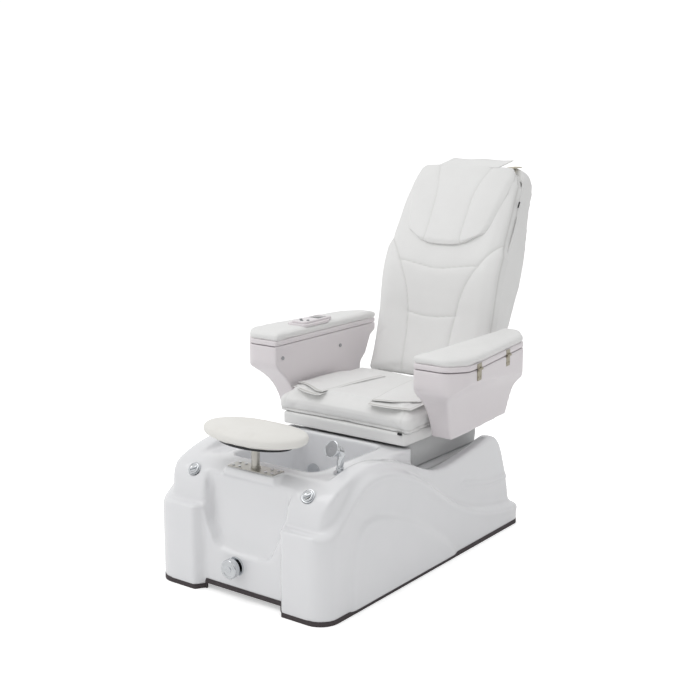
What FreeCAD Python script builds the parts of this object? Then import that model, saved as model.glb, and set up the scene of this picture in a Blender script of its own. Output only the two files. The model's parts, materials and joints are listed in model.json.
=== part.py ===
import FreeCAD, Part
import math
import os
import re

# Pedicure spa chair: foot-bath base, sliding massage seat, reclining back, two box armrests.
# Frame: +Z up, front faces -Y, sitter's left is +X, origin under the middle on the floor.

Vector = FreeCAD.Vector

DIMENSIONS = {
    # foot-bath base
    "base_half": 380, "base_front": -780, "base_rear": 513, "base_corner": 72,
    "toe_half": 196, "toe_setback": 32, "upper_inset": 26, "upper_front": -752,
    "wall": 9, "toe_lift": 20, "trim_height": 17, "trim_width": 7, "deck_level": 447, "rear_deck": 345,
    "deck_half": 286, "basin_half": 195, "basin_front": -594, "basin_rear": -190,
    "basin_floor": 196, "basin_wall": 6, "rim_lap": 12, "rim_thick": 3,
    "tube": 40, "frame_half": 300, "foot_radius": 22, "foot_height": 12,
    # fittings on the base
    "drain_radius": 34, "drain_x": -28, "drain_level": 115, "cap_radius": 21, "cap_x": 254,
    "cap_y": -703.5, "cap_level": 411, "cap_tilt": 48, "plate_half": 100, "plate_front": -700,
    "plate_depth": 62, "plate_thick": 4, "post_radius": 14.5, "post_y": -669, "pad_half": 210,
    "pad_depth": 118, "pad_low": 547, "pad_thick": 57, "shower_x": 258, "shower_y": -536,
    # seat
    "pedestal_half": 250, "pedestal_front": -112, "pedestal_rear": 385, "pedestal_top": 450,
    "rail_low": 390, "wheel_radius": 15, "axle_radius": 5, "front_axle_y": 30,
    "rear_axle_y": 260, "seat_half": 283, "seat_front": -182, "seat_rear": 329, "seat_low": 458,
    "seat_top": 504, "cushion_half": 297, "cushion_rear": 331, "cushion_top": 596,
    # back
    "pivot_y": 375, "pivot_level": 520, "shaft_radius": 8, "run": 0.05, "back_half": 270,
    "back_pad": 50, "back_top": 1400, "shell_wall": 7, "roller_radius": 19, "rod_radius": 6,
    # armrests
    "arm_inner": 312, "arm_front": -182, "arm_rear": 475, "arm_low": 473, "arm_top": 747,
    "lid_low": 750, "lid_thick": 20, "lid_pad": 26, "hinge_radius": 4,
}

document = FreeCAD.newDocument("PedicureChair")
sheet = document.addObject("Spreadsheet::Sheet", "Sizes")
for row, (alias, value) in enumerate(DIMENSIONS.items(), start=1):
    sheet.set(f"A{row}", alias)
    sheet.set(f"B{row}", str(value))
    sheet.setAlias(f"B{row}", alias)
document.recompute()

finished = []


def size(alias):
    """Value of one driving dimension, read from the sheet."""
    return float(sheet.get(alias))


def bind(item, prop, formula):
    """Bind a property to a formula written with the sheet's own words."""
    def cell(match):
        word = match.group()
        return f"Sizes.{word}" if word in DIMENSIONS else word
    item.setExpression(prop, re.sub(r"[a-z_]+", cell, str(formula)))


def place(item, at):
    """Bind an object's position to three formulas."""
    for axis, formula in zip("xyz", at):
        bind(item, f"Placement.Base.{axis}", formula)


def turned(item, axis, degrees):
    """Turn an object about one of its own axes, keeping where it stands."""
    base = item.Placement.Base
    item.Placement = FreeCAD.Placement(base, FreeCAD.Rotation(Vector(*axis), degrees))
    return item


def keep(item, node):
    """Name a finished sub-part and put it on the list that is written out."""
    item.Label = node
    finished.append(item)
    return item


# ---- primitives -----------------------------------------------------------------------------

def box(low, sides, name="block"):
    """Box whose lowest corner and three sides are values or formulas."""
    item = document.addObject("Part::Box", name)
    for prop, formula in zip(("Length", "Width", "Height"), sides):
        bind(item, prop, formula)
    place(item, low)
    return item


def cylinder(start, radius, length, axis="Z", name="round"):
    """Cylinder that grows from start along +X, +Y or +Z."""
    item = document.addObject("Part::Cylinder", name)
    bind(item, "Radius", radius)
    bind(item, "Height", length)
    if axis == "X":
        turned(item, (0, 1, 0), 90)
    if axis == "Y":
        turned(item, (1, 0, 0), -90)
    place(item, start)
    return item


def fuse(*items):
    """Union of several shapes."""
    joined = document.addObject("Part::MultiFuse", "joined")
    joined.Shapes = list(items)
    return joined


def common(*items):
    """What several shapes have in common."""
    shared = document.addObject("Part::MultiCommon", "shared")
    shared.Shapes = list(items)
    return shared


def cut(base, *tools):
    """First shape with the others taken away."""
    result = document.addObject("Part::Cut", "cut")
    result.Base = base
    result.Tool = tools[0] if len(tools) == 1 else fuse(*tools)
    return result


# ---- outlines -------------------------------------------------------------------------------

def rounded(corners):
    """Closed outline of straight edges; each corner is (u, v, radius)."""
    edges = []
    joins = []
    for index, (u, v, radius) in enumerate(corners):
        here = Vector(u, v, 0)
        before = (Vector(*corners[index - 1][:2], 0) - here).normalize()
        after = (Vector(*corners[(index + 1) % len(corners)][:2], 0) - here).normalize()
        half = before.getAngle(after) / 2
        reach = radius / math.tan(half)
        middle = here + (before + after).normalize() * (radius / math.sin(half) - radius)
        joins.append((here + before * reach, middle, here + after * reach, radius))
    for index, (start, middle, end, radius) in enumerate(joins):
        if radius > 0:
            edges.append(Part.Arc(start, middle, end))
        following = joins[(index + 1) % len(joins)][0]
        if end.distanceToPoint(following) > 0.001:
            edges.append(Part.LineSegment(end, following))
    return edges


def smooth(points):
    """One open smooth curve through the points (u, v)."""
    curve = Part.BSplineCurve()
    curve.interpolate([Vector(u, v, 0) for u, v in points])
    return curve


def closed(*stretches):
    """Closed outline of stretches, each a smooth curve or a list of (u, v) corners."""
    edges = []
    ends = []
    for stretch in stretches:
        if isinstance(stretch, Part.BSplineCurve):
            edges.append(stretch)
            ends.append((stretch.StartPoint, stretch.EndPoint))
        else:
            corners = [Vector(u, v, 0) for u, v in stretch]
            for start, end in zip(corners, corners[1:]):
                edges.append(Part.LineSegment(start, end))
            ends.append((corners[0], corners[-1]))
    for index, (start, end) in enumerate(ends):
        following = ends[(index + 1) % len(ends)][0]
        if end.distanceToPoint(following) > 0.001:
            edges.append(Part.LineSegment(end, following))
    return edges


def rectangle(u_low, v_low, u_high, v_high, radius=0):
    """Rectangle outline with all four corners of one radius."""
    return rounded([(u_low, v_low, radius), (u_high, v_low, radius),
                    (u_high, v_high, radius), (u_low, v_high, radius)])


def pad(plane, outline, length, at=(0, 0, 0), symmetric=False, edge_round=0):
    """PartDesign body: an outline on an origin plane, padded along +Z, +X (YZ) or +Y (XZ)."""
    body = document.addObject("PartDesign::Body", "body")
    sketch = body.newObject("Sketcher::SketchObject", "outline")
    plane_object = [item for item in body.Origin.OriginFeatures if item.Role == plane][0]
    sketch.AttachmentSupport = (plane_object, [""])
    sketch.MapMode = "FlatFace"
    for edge in outline:
        sketch.addGeometry(edge, False)
    solid = body.newObject("PartDesign::Pad", "pad")
    solid.Profile = sketch
    bind(solid, "Length", length)
    solid.Midplane = symmetric
    solid.Reversed = plane == "XZ_Plane"
    if edge_round:
        document.recompute()
        softened = body.newObject("PartDesign::Fillet", "softened")
        softened.Base = (solid, [f"Edge{n + 1}" for n in range(len(solid.Shape.Edges))])
        softened.Radius = edge_round
    place(body, at)
    return body


# ---- foot-bath base -------------------------------------------------------------------------

def base_plan(inset, half, front, rear):
    """Plan of the shell: two rounded towers with the toe panel set back between them."""
    corner = size("base_corner") - inset
    toe = size("toe_half") + inset
    setback = front + size("toe_setback") + inset
    half, front, rear = half - inset, front + inset, rear - inset
    return rounded([(half, rear, 40), (-half, rear, 40), (-half, front, corner), (-toe, front, 10),
                    (-toe + 22, setback, 12), (toe - 22, setback, 12), (toe, front, 10),
                    (half, front, corner)])


def skirt(inset):
    """Lower band of the shell, under the wave-shaped ridge."""
    low = 0 if inset else size("trim_height")
    ridge = smooth([(-740, 306), (-690, 335), (-620, 398), (-545, 444), (-454, 450), (-350, 428),
                    (-207, 362), (-10, 232), (202, 137), (360, 100), (size("base_rear"), 84)])
    side = closed(ridge, [(560, 84), (560, low), (-820, low), (-820, 300)])
    plan = base_plan(inset, size("base_half"), size("base_front"), size("base_rear"))
    profile = pad("YZ_Plane", side, "base_half * 2 + 40", (0, 0, -inset), True)
    return common(profile, pad("XY_Plane", plan, 520))


def upper(inset):
    """Upper body of the shell: sloping towers, deck rim, dip beside the seat and rear wings."""
    low = 0 if inset else size("trim_height")
    crest = smooth([(-740, 300), (-733, 350), (-719, 391), (-692, 422), (-640, 448), (-534, 476),
                    (-448, 477),
                    (-355, 458), (-234, 419), (-103, 366), (-21, 355), (105, 368), (251, 389),
                    (322, 396), (372, 366), (418, 280), (448, 190), (475, 100), (492, 60)])
    side = closed(crest, [(492, low), (-740, low)])
    half = size("base_half") - size("upper_inset")
    plan = base_plan(inset, half, size("upper_front"), size("base_rear") - 8)
    profile = pad("YZ_Plane", side, "base_half * 2", (0, 0, -inset), True)
    return common(profile, pad("XY_Plane", plan, 520))


def bath_deck(inset):
    """Level deck round the bath, carried on between the dipping side walls."""
    half = size("deck_half") - inset
    plan = rectangle(-half, -640 + inset, half, -131 - inset, 20)
    return pad("XY_Plane", plan, size("deck_level") - inset - 17, (0, 0, 17))


def hollows(grow):
    """Scoop between the towers, sunken deck round the bath, and the seat's well."""
    scoop_front = closed(smooth([(-742, 184 - grow), (-722, 250), (-708, 330), (-702, 400),
                                 (-690, 470)]),
                         [(-690, 560), (-900, 560), (-900, 184 - grow)])
    bottom, middle, top = 118 + grow, 168 + grow, 206 + grow
    scoop_face = rounded([(-bottom, 184 - grow, 30), (bottom, 184 - grow, 30), (middle, 300, 30),
                          (top, 470, 0), (top, 560, 0), (-top, 560, 0), (-top, 470, 0),
                          (-middle, 300, 30)])
    scoop = common(pad("YZ_Plane", scoop_front, 600, (0, grow, 0), True),
                   pad("XZ_Plane", scoop_face, 400, (0, -900, 0)))
    half = size("deck_half") + grow
    deck = pad("XY_Plane", rectangle(-half, -690, half, -60, 60), 200,
               (0, 0, size("deck_level") - grow))
    well = pad("XY_Plane", rectangle(-half - 22, -131 - grow, half + 22, 430 + grow, 40), 300,
               (0, 0, size("rear_deck") - grow))
    return fuse(scoop, deck, well)


def base_shell():
    """Moulded shell of the base: skirt, towers and deck, hollow and open below, with the bath hole."""
    outer = cut(fuse(skirt(0), upper(0), bath_deck(0)), hollows(0))
    wall = size("wall")
    inner = cut(fuse(skirt(wall), upper(wall), bath_deck(wall)), hollows(wall))
    clear = 0.5
    half = size("basin_half") + clear
    bath_hole = pad("XY_Plane", rectangle(-half, size("basin_front") - clear, half,
                                          size("basin_rear") + clear, 45), 200, (0, 0, 400))
    post_hole = cylinder(("0", "post_y", 300), "post_radius + 4.5", 300)
    drain_hole = cylinder(("drain_x", -790, "drain_level"), 12, 100, "Y")
    shower_hole = cylinder(("shower_x", "shower_y", 300), 14.5, 300)
    caps = [cap_disc(sign, radius, start, 60) for sign in (-1, 1)
            for radius, start in ((9, -45), (size("cap_radius") + 3.2, -6.2))]
    screws = [cylinder((x, y, 400), 3.2, 100) for x, y in plate_screws()]
    return keep(cut(outer, inner, bath_hole, post_hole, drain_hole, shower_hole, toe_arch(),
                    *caps, *screws), "base_shell")


def toe_arch():
    """Block that is cut away where the front panel's lower edge stands off the floor."""
    half = size("toe_half") - 22
    return box((-half, -790, -1), (2 * half, 90, "toe_lift + trim_height + 1"))


def base_trim():
    """Rubber edge round the foot of the base, lifted at the toe arch."""
    front, rear = size("base_front"), size("base_rear")
    half = size("base_half")
    outer = pad("XY_Plane", base_plan(0, half, front, rear), "trim_height")
    inner = pad("XY_Plane", base_plan(size("trim_width"), half, front, rear), 40, (0, 0, -5))
    toe = size("toe_half") - 22
    setback = front + size("toe_setback")
    lifted = box((-toe, setback, "toe_lift"), (2 * toe, "trim_width", "trim_height"))
    risers = [box((sign * (toe - 3.5) - 3.5, setback, 0), (7, "trim_width",
                                                           "toe_lift + trim_height"))
              for sign in (-1, 1)]
    return keep(fuse(cut(outer, inner, toe_arch()), lifted, *risers), "base_trim")


def foot_basin():
    """Foot bath with its rim under the deck, drain hole and jet holes."""
    half, front, rear = size("basin_half"), size("basin_front"), size("basin_rear")
    wall = size("basin_wall")
    lap = size("rim_lap")
    tub = pad("XY_Plane", rectangle(-half, front, half, rear, 45),
              "deck_level + rim_thick - basin_floor", (0, 0, "basin_floor"))
    rim = pad("XY_Plane", rectangle(-half - lap, front - lap, half + lap, rear + lap, 55),
              "rim_thick", (0, 0, "deck_level"))
    inside = pad("XY_Plane", rectangle(-half + wall, front + wall, half - wall, rear - wall, 40),
                 400, (0, 0, "basin_floor + basin_wall"))
    outlet = cylinder((0, -300, "basin_floor - 5"), 24, 30)
    jets = [cylinder((sign * 120, "basin_rear - 20", 300), 10, 40, "Y") for sign in (-1, 1)]
    return keep(cut(fuse(tub, rim), inside, outlet, *jets), "foot_basin")


def base_frame():
    """Welded square tubes: two sills, cross members and the four posts under the seat rails."""
    sill_low = size("foot_height") + 8
    sills = [box((sign * size("frame_half") - 20, -640, sill_low), ("tube", 1060, "tube"))
             for sign in (-1, 1)]
    crosses = [box((-281, y, sill_low), (562, "tube", "tube")) for y in (-600, -120, 340)]
    posts = [box((x - 15, y, sill_low + 20), (30, 30, "rear_deck - 50"))
             for x in (-184, 184) for y in (-115, 345)]
    beams = [box((sign * 184 - 15, -115, "rear_deck - 30"), (30, 490, 20)) for sign in (-1, 1)]
    return keep(fuse(*sills, *crosses, *posts, *beams), "base_frame")


def levelling_feet():
    """Six screw-in feet under the base frame."""
    feet = []
    for x in (-300, 300):
        for y in (-600, -100, 380):
            feet.append(cylinder((x, y, 0), "foot_radius", "foot_height"))
            feet.append(cylinder((x, y, "foot_height"), 6, 8))
    return keep(fuse(*feet), "levelling_feet")


def plumbing():
    """Strainer, waste pipe, circulation pump and jet covers of the bath."""
    strainer = cut(cylinder((0, -300, "basin_floor + basin_wall - 3"), 23.5, 6),
                   *[cylinder((12 * math.cos(turn), -300 + 12 * math.sin(turn), 150), 3.5, 100)
                     for turn in [math.radians(60 * step) for step in range(6)]])
    keep(strainer, "basin_strainer")
    pipe = fuse(cylinder((0, -300, 130), 20, 65.5), cylinder((0, -300, 130), 20, 380, "Y"))
    keep(pipe, "drain_pipe")
    body = cylinder((120, -70, 110), 55, 110, "Y")
    stand = box((75, -60, 45), (90, 90, 20))
    spigot = cylinder((120, -110, 110), 18, 45, "Y")
    keep(fuse(body, stand, spigot), "circulation_pump")
    discs = []
    for sign in (-1, 1):
        face = cylinder((sign * 120, "basin_rear - basin_wall - 8", 300), 27, 7.7, "Y")
        stem = cylinder((sign * 120, "basin_rear - 13", 300), 9.5, 40, "Y")
        discs.append(fuse(face, stem))
    keep(fuse(*discs), "jet_covers")


def drain_control():
    """Drain knob on the front panel and the flange behind it."""
    flange = cut(cylinder(("drain_x", -756, "drain_level"), "drain_radius + 1", 8, "Y"),
                 cylinder(("drain_x", -780, "drain_level"), 11, 60, "Y"))
    keep(flange, "drain_escutcheon")
    grip = cylinder(("drain_x", -790, "drain_level"), "drain_radius", 24, "Y")
    neck = cylinder(("drain_x", -767, "drain_level"), 10.9, 60, "Y")
    keep(fuse(grip, neck), "drain_knob")


def control_caps():
    """Two round turning caps on the sloping tower fronts, each in a fixed bezel."""
    bezels = []
    for sign, node in ((-1, "control_cap_right"), (1, "control_cap_left")):
        bezels.append(cut(cap_disc(sign, "cap_radius + 3", -6, 8),
                          cap_disc(sign, "cap_radius + 0.4", -2, 20),
                          cap_disc(sign, 8.6, -20, 40)))
        keep(fuse(cap_disc(sign, "cap_radius", -1.5, 9), cap_disc(sign, 8.5, -40, 39)), node)
    keep(fuse(*bezels), "control_bezels")


def cap_disc(sign, radius, start, length):
    """Disc about the axis of a control cap, start measured out of the tower's face."""
    tilt = math.radians(size("cap_tilt"))
    item = turned(cylinder((0, 0, 0), radius, length), (1, 0, 0), size("cap_tilt"))
    place(item, (sign * size("cap_x"), size("cap_y") - start * math.sin(tilt),
                 size("cap_level") + start * math.cos(tilt)))
    return item


def footrest():
    """Deck plate with screws, socket, post and the padded rest with its mount."""
    top = size("deck_level")
    spots = plate_screws()
    plate = cut(box(("-plate_half", "plate_front", top), ("plate_half * 2", "plate_depth",
                                                         "plate_thick")),
                cylinder(("0", "post_y", 400), "post_radius + 2.5", 100),
                *[cylinder((x, y, 400), 3.2, 100) for x, y in spots])
    keep(plate, "footrest_plate")
    screws = [fuse(cylinder((x, y, top + 4), 5.5, 2.4), cylinder((x, y, top - 8), 3, 13))
              for x, y in spots]
    keep(fuse(*screws), "footrest_screws")
    socket = cut(cylinder(("0", "post_y", 250), "post_radius + 2.4", 209),
                 cylinder(("0", "post_y", 256), "post_radius + run", 300))
    keep(socket, "footrest_socket")
    keep(cylinder(("0", "post_y", 275), "post_radius", "pad_low - 287"), "footrest_post")
    mount = fuse(cylinder(("0", "post_y", "pad_low - 12"), 45, 4.7),
                 pad("XY_Plane", footrest_outline(0.72), 7, (0, 0, "pad_low - 7.3")))
    keep(mount, "footrest_mount")
    cushion = pad("XY_Plane", footrest_outline(1), "pad_thick", (0, 0, "pad_low"), edge_round=22)
    keep(cushion, "footrest_pad")


def plate_screws():
    """Centres of the eight screws that hold the footrest's plate to the deck."""
    front, depth = size("plate_front"), size("plate_depth")
    return [(x, y) for x in (-86, -58, 58, 86) for y in (front + 14, front + depth - 14)]


def footrest_outline(scale):
    """Oval of the footrest, a little waisted on its rear edge."""
    half, depth = size("pad_half") * scale, size("pad_depth") * scale
    points = []
    for step in range(16):
        turn = math.radians(22.5 * step)
        waist = 1 - 0.13 * math.exp(-((turn - math.pi / 2) / 0.42) ** 2)
        points.append(Vector(half * math.cos(turn),
                             size("post_y") + depth * waist * math.sin(turn), 0))
    oval = Part.BSplineCurve()
    oval.interpolate(points, PeriodicFlag=True)
    return [oval]


HEAD_AXIS = (1, -0.17, 0)      # the shower head is tipped about this line
HEAD_TILT = 66


def hand_shower():
    """Pull-out shower: deck collar, handle with hidden stem, head and its face."""
    foot = Vector(size("shower_x"), size("shower_y"), size("deck_level"))
    collar = cut(fuse(cylinder((foot.x, foot.y, foot.z), 22, 5), cylinder((foot.x, foot.y, 425),
                                                                         14, 24)),
                 cylinder((foot.x, foot.y, 400), 10.6, 80))
    keep(collar, "shower_socket")
    keep(cylinder((foot.x, foot.y, 330), 10, 130), "shower_stem")
    handle = fuse(cylinder((foot.x, foot.y, 460.3), 12, 52),
                  turned(cylinder((foot.x, foot.y, 506), 11, 40), (0, 1, 0), -30),
                  turned(cylinder((foot.x - 10, foot.y - 10, 528), 24, 20), HEAD_AXIS, HEAD_TILT))
    keep(handle, "shower_handle")
    face = turned(cylinder((foot.x - 10, foot.y - 10, 528), 20, 3), HEAD_AXIS, HEAD_TILT)
    direction = face.Placement.Rotation.multVec(Vector(0, 0, 1))
    spot = Vector(foot.x - 10, foot.y - 10, 528) + direction * 20.3
    place(face, (spot.x, spot.y, spot.z))
    keep(face, "shower_face")


# ---- seat -----------------------------------------------------------------------------------

def seat_support():
    """Soft pedestal cover over the rails that carry the sliding seat."""
    half, front, rear = (size("pedestal_half"), size("pedestal_front"), size("pedestal_rear"))
    cover = cut(pad("XY_Plane", rectangle(-half, front, half, rear, 30), "pedestal_top - "
                    "rear_deck - 0.5", (0, 0, "rear_deck + 0.5")),
                pad("XY_Plane", rectangle(-half + 6, front + 6, half - 6, rear - 6, 24), 200,
                    (0, 0, "rear_deck - 20")))
    keep(cover, "pedestal_cover")
    rails = []
    for sign in (-1, 1):
        channel = box((sign * 184 - 16, -98, "rail_low"), (32, 475, 42))
        slot = box((sign * 180 - 16, -90, "rail_low + 6"), (32, 459, "wheel_radius * 2 + 0.6"))
        foot = box((sign * 184 - 14, -98, 346), (28, 475, 44))
        rails.append(fuse(cut(channel, slot), foot))
    keep(fuse(*rails), "slide_rails")
    level = size("rail_low") + 6.3 + size("wheel_radius")
    for node, alias in (("front_axle", "front_axle_y"), ("rear_axle", "rear_axle_y")):
        rod = cylinder((-190, alias, level), "axle_radius", 380, "X")
        wheels = [cylinder((sign * 182 - 7, alias, level), "wheel_radius", 14, "X")
                  for sign in (-1, 1)]
        keep(fuse(rod, *wheels), node)
    cheeks = [box((sign * 155 - 4, "front_axle_y - 20", level - 12),
                  (8, "rear_axle_y - front_axle_y + 40", 452 - level + 12)) for sign in (-1, 1)]
    bores = [cylinder((-200, alias, level), "axle_radius + run", 400, "X")
             for alias in ("front_axle_y", "rear_axle_y")]
    plate = box((-160, "front_axle_y - 25", 452), (320, "rear_axle_y - front_axle_y + 50", 6))
    keep(cut(fuse(plate, *cheeks), *bores), "seat_carriage")


def seat():
    """Seat frame with back lugs, seat box, cushion and the two side flaps."""
    low, top = size("seat_low"), size("seat_top")
    rails = [box((sign * 240 - 15, -165, low), (30, 560, 30)) for sign in (-1, 1)]
    crosses = [box((-225, y, low), (450, 30, 30)) for y in (-165, 20, 235, 300)]
    lug_outline = rounded([(330, low, 0), (400, low, 0), (400, 545, 20), (350, 545, 20),
                           (350, 499, 0), (330, 499, 0)])
    lugs = [pad("YZ_Plane", lug_outline, 8, (sign * 259 - 4, 0, 0)) for sign in (-1, 1)]
    keep(cut(fuse(*rails, *crosses, *lugs), pivot_bore("run")), "seat_frame")
    case = fuse(box((-60, 346, 488), (120, 52, 57)), box((-45, 330, 470), (90, 40, 30)))
    keep(cut(case, pivot_bore("run")), "recline_motor")
    tray = pad("XY_Plane", rectangle(-size("seat_half"), size("seat_front"), size("seat_half"),
                                     size("seat_rear"), 12), top - low, (0, 0, low))
    hollow = box(("-seat_half + 8", "seat_front + 8", low - 10), ("seat_half * 2 - 16", 600,
                                                                  "seat_top - seat_low"))
    keep(cut(tray, hollow), "seat_box")
    cushion = pad("XY_Plane", rectangle(-size("cushion_half"), size("seat_front") + 1,
                                        size("cushion_half"), size("cushion_rear"), 40),
                  "cushion_top - seat_top - 0.3", (0, 0, "seat_top + 0.3"), edge_round=26)
    keep(cushion, "seat_cushion")
    for sign, node in ((-1, "seat_flap_right"), (1, "seat_flap_left")):
        outline = rounded([(sign * 96, -158, 15), (sign * 175, -178, 20), (sign * 252, -170, 25),
                           (sign * 280, -60, 30), (sign * 262, 190, 20), (sign * 130, 190, 20)])
        keep(pad("XY_Plane", outline, 9, (0, 0, "cushion_top + 0.5")), node)
    brackets = [box((x, y, 476), (28.7, 46, 22)) for x in (-312, 283.3) for y in (20, 250)]
    keep(fuse(*brackets), "arm_brackets")


def pivot_bore(clearance):
    """Hole for the recline shaft, right across the chair."""
    return cylinder((-300, "pivot_y", "pivot_level"), f"shaft_radius + {clearance}", 600, "X")


# ---- back -----------------------------------------------------------------------------------

FRONT_LINE = [(345, 560), (395, 690), (431, 810), (447, 900), (470, 1000), (516, 1100),
              (562, 1180), (612, 1270), (665, 1350), (700, 1402)]
REAR_LINE = [(530, 550), (562, 680), (594, 780), (640, 880), (675, 970), (700, 1060),
             (712, 1137), (728, 1200), (757, 1254), (783, 1300), (787, 1338), (779, 1374),
             (758, 1400)]


def shifted(points, forward):
    """Outline points moved forward by one amount."""
    return [(u + forward, v) for u, v in points]


def back_face(inset, bottom=540):
    """Front outline of the back: wide shoulders narrowing a little to a rounded top."""
    half = size("back_half") - inset
    top = size("back_top") - inset
    return rounded([(-half + 14, bottom, 10), (half - 14, bottom, 10), (half, 900, 300),
                    (half, 1180, 300), (half - 34, top, 70), (-half + 34, top, 70),
                    (-half, 1180, 300), (-half, 900, 300)])


def back_cushion():
    """Front pad of the backrest, of one thickness along the front line."""
    side = closed(smooth(FRONT_LINE), smooth(shifted(FRONT_LINE, size("back_pad"))[::-1]))
    solid = common(pad("YZ_Plane", side, 620, symmetric=True),
                   pad("XZ_Plane", back_face(4), 900))
    keep(solid, "backrest_pad")


def back_shell():
    """Padded tub behind the back cushion, open to it, round the massage gear."""
    gap = size("back_pad") + 1
    side = closed(smooth(shifted(FRONT_LINE, gap)), smooth(REAR_LINE[::-1]))
    solid = common(pad("YZ_Plane", side, 620, symmetric=True),
                   pad("XZ_Plane", back_face(0, 602), 900))
    wall = size("shell_wall")
    inside = closed(smooth(shifted(FRONT_LINE, gap - 40)[:-1]),
                    smooth(shifted(REAR_LINE, -wall)[-3::-1]))
    hollow = common(pad("YZ_Plane", inside, 620, symmetric=True),
                    pad("XZ_Plane", back_face(wall), 900))
    keep(cut(solid, hollow), "backrest_shell")


RAIL_FOOT = Vector(0, 474, 610)
RAIL_LEAN = math.degrees(math.atan2(236, 664))


def leaning(radius, start, length, x):
    """Round bar that leans back with the seat back, start measured up from its foot."""
    lean = math.radians(RAIL_LEAN)
    item = turned(cylinder((0, 0, 0), radius, length), (1, 0, 0), -RAIL_LEAN)
    place(item, (x, RAIL_FOOT.y + start * math.sin(lean), RAIL_FOOT.z + start * math.cos(lean)))
    return item


def leaning_box(low, sides):
    """Block in the leaning frame of the back: x, distance behind the rails, distance up."""
    lean = math.radians(RAIL_LEAN)
    item = turned(box((0, 0, 0), sides), (1, 0, 0), -RAIL_LEAN)
    x, behind, up = low
    place(item, (x, RAIL_FOOT.y + up * math.sin(lean) + behind * math.cos(lean),
                 RAIL_FOOT.z + up * math.cos(lean) - behind * math.sin(lean)))
    return item


def back_frame():
    """Recline ears and shaft, roller rails, carriage and rollers of the massage drive."""
    ear = rounded([(353, 522, 14), (376, 498, 14), (398, 508, 8), (512, 616, 10), (524, 700, 8),
                   (466, 700, 8), (440, 620, 20), (412, 560, 10), (376, 546, 12)])
    ears = [cut(pad("YZ_Plane", ear, 8, (sign * 240 - 4, 0, 0)), pivot_bore(0.02))
            for sign in (-1, 1)]
    uprights = [leaning(12.5, 0, 700, sign * 226) for sign in (-1, 1)]
    crosses = [leaning_box((-226, -8, up), (452, 16, 16)) for up in (2, 682)]
    keep(fuse(*ears, *uprights, *crosses), "backrest_frame")
    keep(cylinder((-268, "pivot_y", "pivot_level"), "shaft_radius", 536, "X"), "recline_shaft")
    keep(fuse(*[leaning("rod_radius", 18.5, 663, sign * 90) for sign in (-1, 1)]),
         "massage_rails")
    block = fuse(leaning_box((-112, -12, 60), (224, 24, 90)),
                 *[leaning_box((sign * 84 - 5, -36, 90), (10, 30, 30)) for sign in (-1, 1)])
    rods = [leaning("rod_radius + run", 0, 700, sign * 90) for sign in (-1, 1)]
    keep(cut(block, *rods, roller_axle("axle_radius + run", -100, 200)), "massage_carriage")
    wheels = [roller_axle("roller_radius", sign * middle - 10, 20)
              for sign in (-1, 1) for middle in (28, 58)]
    keep(fuse(roller_axle("axle_radius", -89, 178), *wheels), "massage_rollers")


def roller_axle(radius, start, length):
    """Cylinder about the massage rollers' axle, which lies in front of the rails."""
    lean = math.radians(RAIL_LEAN)
    up, behind = 105, -34
    return cylinder((start, RAIL_FOOT.y + up * math.sin(lean) + behind * math.cos(lean),
                     RAIL_FOOT.z + up * math.cos(lean) - behind * math.sin(lean)),
                    radius, length, "X")


def headrest():
    """Pillow that hangs over the top of the back, with its rear flap."""
    side = closed(smooth([(495, 1098), (540, 1180), (590, 1270), (640, 1350), (690, 1420)]),
                  [(720, 1438), (775, 1434), (775, 1424), (722, 1426)],
                  smooth([(698, 1404.5), (660, 1350), (607, 1270), (557, 1180), (514, 1104)]))
    outline = rounded([(-150, 1088, 50), (150, 1088, 50), (205, 1200, 50), (232, 1360, 40),
                       (190, 1445, 20), (-190, 1445, 20), (-232, 1360, 40), (-205, 1200, 50)])
    keep(common(pad("YZ_Plane", side, 620, symmetric=True), pad("XZ_Plane", outline, 900)),
         "headrest_pillow")


# ---- armrests -------------------------------------------------------------------------------

def arm_plan(sign, inset, grow=0):
    """Plan of an armrest: broad rounded front, outer edge running in towards the rear."""
    inner, front, rear = size("arm_inner"), size("arm_front"), size("arm_rear")
    corners = [(inner + inset, front + inset, 8), (448 - inset, front + inset, 60),
               (503 + grow - inset, -112, 60), (501 + grow - inset, -20, 80),
               (446 + grow - inset, 383, 60), (378 - inset, rear - inset, 30),
               (inner + inset, rear - inset, 6)]
    return rounded([(sign * x, y, radius) for x, y, radius in corners])


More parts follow.
